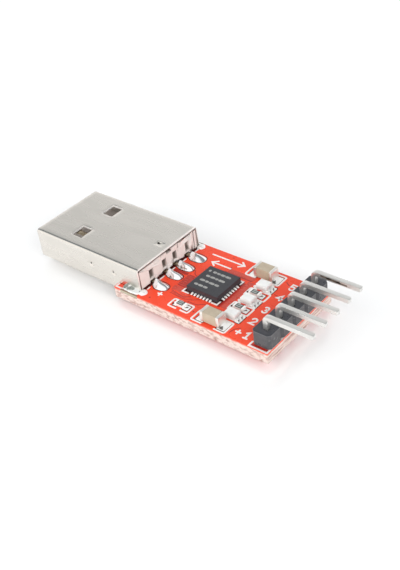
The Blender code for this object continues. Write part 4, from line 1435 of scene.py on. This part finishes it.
# %% [markdown]
# The four contacts are strips of springy metal: a blade on the tongue, then a narrower leg down through the
# core, and a tail out onto the board. Each is a rounded rectangle carried along a path with bent corners.

# %% Plug contacts
CONTACT_EDGE = 0.05
CONTACT_BEND = 0.25
NARROW_BELOW = 0.3
contact_section = rectangle(
    -CONTACT_WIDTH / 2, CONTACT_WIDTH / 2, -CONTACT_THICKNESS / 2, CONTACT_THICKNESS / 2, CONTACT_EDGE, 2
)
for number, y in enumerate(contact_middles, 1):
    low, high = corners(f"usb_contact_{number}")
    blade_z, tail_z = high[2] - CONTACT_THICKNESS / 2, low[2] + CONTACT_THICKNESS / 2
    turns = [(low[0], blade_z), (CONTACT_LEG_X, blade_z), (CONTACT_LEG_X, tail_z), (high[0], tail_z)]
    path = bent(turns, CONTACT_BEND, 6)
    path = np.c_[path[:, 0], np.full(len(path), y), path[:, 1]]
    scales = np.where(path[:, 2] > blade_z - NARROW_BELOW, 1.0, CONTACT_TAIL_SHARE)
    skin = bar(path, (0.0, 1.0, 0.0), contact_section, scales)
    make(f"plug_contact_{number}", skin, GILT, (f"usb_contact_{number}",))

# %% [markdown]
# Solder is what surface tension leaves: it climbs metal in a hollow curve and stands round on a pad. Over a
# contact's tail it makes a long mound, which starts just behind the bare end of the tail and widens to the
# pad: a grid that stands on a level floor. A dark strip of painted shade fills the gap between the core and
# the board.

# %% Solder on the contacts
MOUND_HEIGHT = 0.80
MOUND_HEEL = 0.13
MOUND_COLUMNS = 26


def on_floor(x, y, lift, base):
    """A grid of points lifted above a level floor, closed by that floor and by two flat ends."""
    x, y, lift = np.broadcast_arrays(x, y, lift)
    top = np.dstack([x, y, base + lift])
    floor = np.dstack([x, y, np.full(x.shape, base)])[:, ::-1]
    rings = np.concatenate([top, floor], axis=1)
    rows, size = rings.shape[:2]
    ends = [np.arange(size)[None, :] + start for start in (0, (rows - 1) * size)]
    return rings.reshape(-1, 3), [bands(rows, size), *ends]


def mound(shape):
    """A ridge along X over the plan of its pad. Its height is h (1.1 - 0.45 s) (1 - s^5)^0.5 at s of its
    length, with a slow ripple, times 1 - |t|^1.27 at t across, which gives it a narrow crest. It climbs to
    that over an eighth of its length from the heel, where the bare contact comes out."""
    s, x, middle, width = (part[:, None] for part in mound_plan(*shape[:4]))
    tall, phase = shape[4:]
    t = np.linspace(-1.0, 1.0, MOUND_COLUMNS)
    ripple = 1.0 + 0.07 * np.sin(8.0 * s + phase)
    climb = 1.0 - (1.0 - np.clip((s - MOUND_HEEL) / 0.12, 0.0, 1.0)) ** 2
    height = MOUND_HEIGHT * tall * (1.1 - 0.45 * s) * np.sqrt(1.0 - s**5) * ripple * climb
    return on_floor(x, middle + width * t, height * (1.0 - np.abs(t) ** 1.27) + 0.005, PAD_TOP)


for number, shape in enumerate(MOUND_SHAPES, 1):
    make(f"contact_mound_{number}", mound(shape), SOLDER, (f"contact_solder_{number}",), 60.0)
# Painted shade: a dark strip in the gap between the core and the board.
gap_shade_plan = rectangle(core_high[0] - 0.16, NOTCH_X + 0.06, -5.35, 5.5, 0.05, 2)
make("gap_shade_line", plate(gap_shade_plan, rounded_levels(BOARD_TOP - 0.25, BOARD_TOP + 0.03, 0.03, 2)), BARE_RING_AND_SHADE)

# %% [markdown]
# Along the shell solder makes a bead with a steep outer edge, and a drop at the shell's rear corner. Beside
# each bead an olive run of flux hangs over the board's edge.

# %% Solder and flux beside the shell
BEAD_START_X, BEAD_END_X = shell_high[0] - 2.95, shell_high[0] + 0.1
BEAD_HEIGHT = 0.34
BEAD_INSET = 0.12
DROP_X = shell_high[0] + 0.28
DROP_RADIUS = 0.62
DROP_HEIGHT = 0.36
FLUX_RUN_INSET = 0.095
FLUX_RUN_HALF = 0.11


def edge_bead(wall_y, edge_y, rows=40, columns=16):
    """Solder between the shell's side and the board's edge, swept along X. At t from the wall to the edge it
    stands h (0.6 (1 - t^5)^0.5 + 0.4 (1 - t)^2): a climb at the wall, a shelf, and a steep outer edge. Both
    ends draw in by (1 - |2 s - 1|^8)^0.5, and a slow wave moves the outer edge."""
    s, t = np.linspace(0.0, 1.0, rows)[:, None], np.linspace(0.0, 1.0, columns)
    reach = np.sqrt(1.0 - np.abs(2.0 * s - 1.0) ** 8)
    wave = 1.0 - 0.05 * (1.0 + np.sin(9.0 * s))
    x = BEAD_START_X + (BEAD_END_X - BEAD_START_X) * s
    y = wall_y + (edge_y - wall_y) * t * (0.05 + 0.95 * reach * wave)
    lift = BEAD_HEIGHT * (0.6 * np.sqrt(1.0 - t**5) + 0.4 * (1.0 - t) ** 2) * reach + 0.01
    return on_floor(x, y, lift, BOARD_TOP + 0.004)


def drop(x, y, rows=9):
    """A round drop: at r of its radius it stands h (1 - r^2)^0.7 above its pad."""
    r = np.linspace(1.0, 0.0, rows + 1)
    lift = DROP_HEIGHT * (1.0 - r**2) ** 0.7 + 0.005
    foot = [(0.0, PAD_TOP), (DROP_RADIUS, PAD_TOP)]
    return turned(x, y, np.vstack([foot, np.c_[DROP_RADIUS * r, PAD_TOP + lift]]))


flux_plan = rectangle(BEAD_START_X, BEAD_END_X, -FLUX_RUN_HALF, FLUX_RUN_HALF, 0.08, 4)
flux_levels = rounded_levels(BOARD_TOP - 0.44, BOARD_TOP + 0.03, 0.05, 3, True)
for side, sign in (("near", -1.0), ("far", 1.0)):
    wall_y = PLUG_MIDDLE_Y + sign * (shell_high[1] - shell_low[1]) / 2
    bead = edge_bead(wall_y, sign * (board_high[1] - BEAD_INSET))
    skin = together([bead, drop(DROP_X, wall_y - sign * 0.02)])
    make(f"shell_bead_{side}", skin, DULL_SOLDER, (f"shell_solder_{side}",), 60.0)
    run = plate(flux_plan + (0.0, sign * (board_high[1] - FLUX_RUN_INSET)), flux_levels)
    make(f"flux_run_{side}", run, FLUX)

# %% [markdown]
# The controller is a flat moulded square without legs. Small tinned lands look out along its four sides,
# each on a pad of its own. One land and one pad are made, then repeated in a row and turned to each side.
# The print is only a dot for pin one and rows of blank bars.

# %% Controller chip
LAND_REACH = 0.3
LAND_PITCH = 0.5
LANDS_PER_SIDE = 7
chip_middle = (chip_low + chip_high) / 2
chip_top = chip_high[2]
CHIP_HALF = (chip_high[0] - chip_low[0]) / 2 - LAND_REACH
# Each row of print: its place across the chip, and where its bars start. A bar ends a gap before the next.
PRINT_ROWS = (
    (1.60, (-1.10, -0.45, 0.15, 0.95, 1.85)),
    (0.55, (-1.45, -0.75, 0.05, 0.60, 1.65)),
    (-0.50, (-1.65, -0.80, -0.20, 0.75, 1.50)),
    (-1.55, (-1.75, -1.10, -0.30, 0.45)),
)
PRINT_GAP = 0.42
PRINT_WIDTH = 0.38
PRINT_DOT = (-1.8, 1.6, 0.2)
PRINT_DEPTH = 0.002


def on_four_sides(skin):
    """A land of the right side repeated in a row, and the row turned to all four sides of the chip."""
    skins = []
    for quarters in range(4):
        for number in range(LANDS_PER_SIDE):
            row = moved(skin, (0.0, (number - (LANDS_PER_SIDE - 1) / 2) * LAND_PITCH, 0.0))
            skins.append(moved(row, (chip_middle[0], chip_middle[1], 0.0), quarters))
    return together(skins)


chip_outline = rectangle(-CHIP_HALF, CHIP_HALF, -CHIP_HALF, CHIP_HALF, 0.04, 2) + chip_middle[:2]
chip_skin = plate(chip_outline, rounded_levels(ON_BOARD, chip_top, 0.035, 2))
make("chip_body", chip_skin, RESIN, ("controller_chip",))

land_plan = rectangle(CHIP_HALF - 0.05, CHIP_HALF + LAND_REACH, -0.12, 0.12, 0.06, 2)
land = plate(land_plan, rounded_levels(PAD_TOP, ON_BOARD + 0.14, 0.06, 2))
make("chip_lands", on_four_sides(land), WHITE_TIN, ("controller_chip",))
land_pad = slab(rectangle(CHIP_HALF + 0.02, CHIP_HALF + 0.42, -0.13, 0.13, 0.05, 2), UNDER_MASK, PAD_TOP)
make("chip_pads", on_four_sides(land_pad), WHITE_TIN, ())

print_outlines = [circle(*PRINT_DOT)]
for y, stops in PRINT_ROWS:
    for start, end in zip(stops[:-1], stops[1:]):
        print_outlines.append(stroke([(start, y), (end - PRINT_GAP, y)], PRINT_WIDTH))
print_low, print_high = chip_top - PRINT_DEPTH, chip_top + PRINT_DEPTH
print_skins = [slab(outline + chip_middle[:2], print_low, print_high) for outline in print_outlines]
make("chip_print", together(print_skins), PRINT, ())

# %% [markdown]
# Capacitors, resistors and lights are small bricks with metal ends. The ends wrap round the body and stand a
# hair proud of it. Solder runs up them from the pad in a hollow curve, so each end gets a fillet whose
# height falls with the square of the distance. It is whiter than on the plug, because it froze dull.


# %% Bricks with metal ends
def brick(low, high, radius):
    """A box whose edges are all rounded."""
    outline = rectangle(low[0], high[0], low[1], high[1], radius, 3)
    return plate(outline, rounded_levels(low[2], high[2], radius, 3, True))


def end_fillet(x, direction, low_y, high_y, height, reach, fade):
    """Solder against one metal end of a part that lies along X. At s along the end and t away from it, it
    stands height (1 - t)^2 w(s) above its pad, where w(s) = 1 - |2 s - 1|^fade draws in both ends."""
    s, t = np.linspace(0.0, 1.0, 13)[:, None], np.linspace(0.0, 1.0, 9)
    full = 1.0 - np.abs(2.0 * s - 1.0) ** fade
    away = direction * reach * t * (0.08 + 0.92 * full)
    along = low_y + 0.04 + (high_y - low_y - 0.08) * s
    return on_floor(x + away, along, height * (1.0 - t) ** 2 * full + 0.01, PAD_TOP)


def metal_ends(name, low, high, end, radius, finish):
    """The two metal ends of a capacitor or a resistor, each a brick as long as an end."""
    for number, (start, stop) in enumerate(((low[0], low[0] + end), (high[0] - end, high[0])), 1):
        cap = brick((start, low[1], low[2]), (stop, high[1], high[2]), radius)
        make(f"{name}_cap_{number}", cap, finish, (f"{name}_end_{number}",))


def end_solder(name, low, high, overlap, height, reach, fade):
    """Solder against both metal ends, as one piece."""
    ends = ((low[0] + overlap, -1.0), (high[0] - overlap, 1.0))
    skins = [end_fillet(x, direction, low[1], high[1], height, reach, fade) for x, direction in ends]
    make(f"{name}_solder", together(skins), WHITE_TIN, (), 60.0)


def capacitor(name, low, high):
    """One chip capacitor: a ceramic body, two metal ends and their solder."""
    end, rise = 0.5, 0.05
    inner_low = (low[0] + end - 0.1, low[1] + rise, low[2] + rise)
    inner_high = (high[0] - end + 0.1, high[1] - rise, high[2] - rise)
    body = brick(inner_low, inner_high, 0.05)
    make(f"{name}_ceramic", body, CERAMIC, (f"{name}_body",))
    metal_ends(name, low, high, end, 0.13, END_METAL)
    end_solder(name, low, high, 0.08, 0.40, 0.7, 2.2)


def resistor(name, low, high):
    """One chip resistor: an alumina slab with a black glaze on top, two blank bars on the glaze, two metal
    ends and their solder."""
    end, glaze = 0.3, 0.05
    body_high = (high[0] - 0.1, high[1] - 0.02, high[2] - glaze)
    body = brick((low[0] + 0.1, low[1] + 0.02, low[2]), body_high, 0.02)
    make(f"{name}_slab", body, ALUMINA, (f"{name}_body",))
    glaze_low = (low[0] + end, low[1] + 0.03, high[2] - 2 * glaze)
    glaze_skin = brick(glaze_low, (high[0] - end, high[1] - 0.03, high[2] - 0.01), 0.02)
    make(f"{name}_glaze", glaze_skin, GLAZE, (f"{name}_body",))
    middle_y = (low[1] + high[1]) / 2
    bars = [[(low[0] + 0.5, middle_y + side), (high[0] - 0.5, middle_y + side)] for side in (-0.16, 0.16)]
    marks = [slab(stroke(path, 0.22), high[2] - 0.012, high[2] - 0.006) for path in bars]
    make(f"{name}_mark", together(marks), GLAZE_MARK)
    metal_ends(name, low, high, end, 0.05, WHITE_TIN)
    end_solder(name, low, high, 0.04, 0.34, 0.55, 3.0)


# %% [markdown]
# A light has a white base, a block of clear resin with sloping sides, and a terminal at each end. The
# terminal's outer side has a half-round bite, left from a plated hole that was cut through its middle.

# %% Lights
NOTCH_RADIUS = 0.26


def notched(low, high, direction):
    """A terminal seen from above: a rectangle with a half-round bite in the middle of its outer side."""
    bite = arc(high[0], (low[1] + high[1]) / 2, NOTCH_RADIUS, 90.0, 270.0)[::-1]
    outline = np.vstack([[low[:2], (high[0], low[1])], bite, [high[:2], (low[0], high[1])]])
    if direction < 0:
        outline = np.c_[low[0] + high[0] - outline[:, 0], outline[:, 1]][::-1]
    return outline


def light(name):
    """One light: a white base, a block of clear resin with sloping sides, two terminals and solder."""
    base_low, base_high = corners(f"{name}_base")
    low, high = corners(f"{name}_lens")
    slope, rounding = 0.06, 0.08
    make(f"{name}_board", brick(base_low, base_high, 0.02), ALUMINA, (f"{name}_base",))
    rounded = rounded_levels(low[2] - 0.03, high[2], rounding, 4) + (slope, 0.0)
    rounded[0, 0] = 0.0
    resin = plate(rectangle(low[0], high[0], low[1], high[1], 0.08, 3), rounded)
    make(f"{name}_resin", resin, LENS, (f"{name}_lens",), 50.0)
    ends = []
    for index, direction in ((1, -1.0), (2, 1.0)):
        low, high = corners(f"{name}_terminal_{index}")
        foot = plate(notched(low, high, direction), rounded_levels(low[2], high[2], 0.03, 2))
        make(f"{name}_foot_{index}", foot, WHITE_TIN, (f"{name}_terminal_{index}",))
        outer_x = (low[0] if index == 1 else high[0]) - direction * 0.04
        middle_y = (low[1] + high[1]) / 2
        for low_y, high_y in ((low[1], middle_y + 0.05), (middle_y - 0.05, high[1])):
            ends.append(end_fillet(outer_x, direction, low_y, high_y, 0.3, 0.4, 2.5))
    make(f"{name}_solder", together(ends), WHITE_TIN, (), 60.0)


# %% [markdown]
# Small dark specks beside the parts' right ends are painted shade, and dark flecks lie on the resistors' left
# pads. They are flat slabs with three sides or round ends, and they stand in the solder. Then the parts are
# made, each in the box of its own CAD nodes.

# %% Specks of painted shade, and the parts
SPECK_TOP = PAD_TOP + 0.17
specks, flecks = [], []
for low, high in part_boxes["light"]:
    for y in (low[1] + high[1]) / 2 + np.array((-0.42, 0.22)):
        specks.append(np.array([(high[0], y), (high[0] + 0.34, y - 0.12), (high[0] + 0.1, y + 0.24)]))
for low, high in part_boxes["resistor"]:
    specks.append(stroke([(high[0] + 0.06, low[1] + 0.18), (high[0] + 0.30, low[1] + 0.45)], 0.12))
    flecks.append(stroke([(low[0] - 0.30, low[1] + 0.15), (low[0] - 0.10, low[1] + 0.55)], 0.16))
for low, high in part_boxes["capacitor"]:
    x, y = high[0] + 0.02, low[1] + 0.06
    specks.append(np.array([(x, y), (x + 0.44, y + 0.06), (x, y + 0.79)]))
for name, outlines, finish in (("shade_specks", specks, SHADE_SPECK), ("pad_flecks", flecks, BARE_RING_AND_SHADE)):
    make(name, together([slab(outline, PAD_TOP, SPECK_TOP) for outline in outlines]), finish)

for side, box in zip(("near", "far"), part_boxes["capacitor"]):
    capacitor(f"{side}_capacitor", *box)
for number, box in enumerate(part_boxes["resistor"], 1):
    resistor(f"resistor_{number}", *box)
for number in (1, 2, 3):
    light(f"light_{number}")

# %% [markdown]
# The header is a moulded strip of five cells, each with its corners cut off, so that it can be snapped to
# length. Its outline repeats one cell's shape, and a square slot for each pin runs through it.

# %% Header strip
HEADER_CHAMFER = 0.36
HEADER_ROUNDING = 0.08
STRIP_FOOT = 0.15
PIN_SLOT_HALF = 0.37


def cell_outline():
    """The strip seen from above: along its +X side cell by cell, and back along its -X side mirrored. The
    -X side stands out a little more."""
    pitch = PIN_YS[1] - PIN_YS[0]
    half = (strip_high[0] - strip_low[0]) / 2
    low = PIN_YS - pitch / 2
    cell_x = np.tile([half - HEADER_CHAMFER, half, half], len(low))
    cell_y = (low[:, None] + [0.0, HEADER_CHAMFER, pitch - HEADER_CHAMFER]).reshape(-1)
    side_x = np.append(cell_x, half - HEADER_CHAMFER)
    side_y = np.append(cell_y, low[-1] + pitch)
    return np.vstack([np.c_[PIN_X + side_x, side_y], np.c_[PIN_X - side_x - STRIP_FOOT, side_y][::-1]])


hole = rectangle(-PIN_SLOT_HALF, PIN_SLOT_HALF, -PIN_SLOT_HALF, PIN_SLOT_HALF)[::-1]
pin_slots = [hole + (PIN_X, y) for y in PIN_YS]
strip_levels = rounded_levels(strip_low[2], strip_high[2], HEADER_ROUNDING, 3, True)
strip = plate(cell_outline(), strip_levels, pin_slots)
make("header_moulding", strip, BLACK_PLASTIC, ("header_strip",), 30.0)

# %% [markdown]
# The square pins go through the strip: a bar carried up, round the bend and out past the board's end, with
# both tips chamfered by shrinking the section. Below the board each pin has its cone of solder. The far pin's
# side is stained brown, so three thin blots lie on it.

# %% Pins and their solder
PIN_SIDE = 0.64
PIN_BEND = 0.5
PIN_EDGE = 0.05
PIN_TIP = 0.15
PIN_TIP_SHARE = 0.72
TAIL_RADII = (0.85, 0.80, 0.66, 0.55, 0.48, 0.44)
TARNISH_X = 17.4
# Each blot: where it starts and ends along the pin, its height over the pin's middle, and its width.
TARNISH_BLOTS = ((0.0, 1.3, 0.08, 0.2), (0.9, 2.6, 0.02, 0.3), (2.2, 3.6, -0.04, 0.22))


def square_pin(y, low, high):
    """One pin as a bar: up, round a bend and out along X. Both tips shrink to a chamfer."""
    arm_z = high[2] - PIN_SIDE / 2
    path = bent([(PIN_X, low[2]), (PIN_X, arm_z), (high[0], arm_z)], PIN_BEND, 10)
    start, end = unit(path[1] - path[0]) * PIN_TIP, unit(path[-2] - path[-1]) * PIN_TIP
    path = np.vstack([path[:1], path[:1] + start, path[1:-1], path[-1:] + end, path[-1:]])
    scales = np.ones(len(path))
    scales[[0, -1]] = PIN_TIP_SHARE
    path = np.c_[path[:, 0], np.full(len(path), y), path[:, 1]]
    section = rectangle(-PIN_SIDE / 2, PIN_SIDE / 2, -PIN_SIDE / 2, PIN_SIDE / 2, PIN_EDGE, 2)
    return bar(path, (0.0, 1.0, 0.0), section, scales)


for number, y in enumerate(PIN_YS, 1):
    pin = square_pin(y, *corners(f"header_pin_{number}"))
    make(f"square_pin_{number}", pin, PIN_PLATE, (f"header_pin_{number}",))
    low, high = corners(f"pin_solder_{number}")
    heights = np.linspace(high[2], low[2], len(TAIL_RADII))
    cone = turned(PIN_X, y, np.c_[[0.0, *TAIL_RADII, 0.0], [high[2], *heights, low[2]]])
    make(f"tail_solder_{number}", cone, SOLDER, (f"pin_solder_{number}",), 60.0)

far_pin_low, far_pin_high = corners("header_pin_5")
far_pin_z = far_pin_high[2] - PIN_SIDE / 2
tarnish = []
for start, end, rise, width in TARNISH_BLOTS:
    path = [(TARNISH_X + start, far_pin_z + rise), (TARNISH_X + end, far_pin_z + rise - 0.02)]
    lying, blot_faces = slab(stroke(path, width), -0.004, 0.02)
    tarnish.append((lying[:, [0, 2, 1]] + (0.0, far_pin_low[1], 0.0), blot_faces))
make("far_pin_tarnish", together(tarnish), TARNISH)
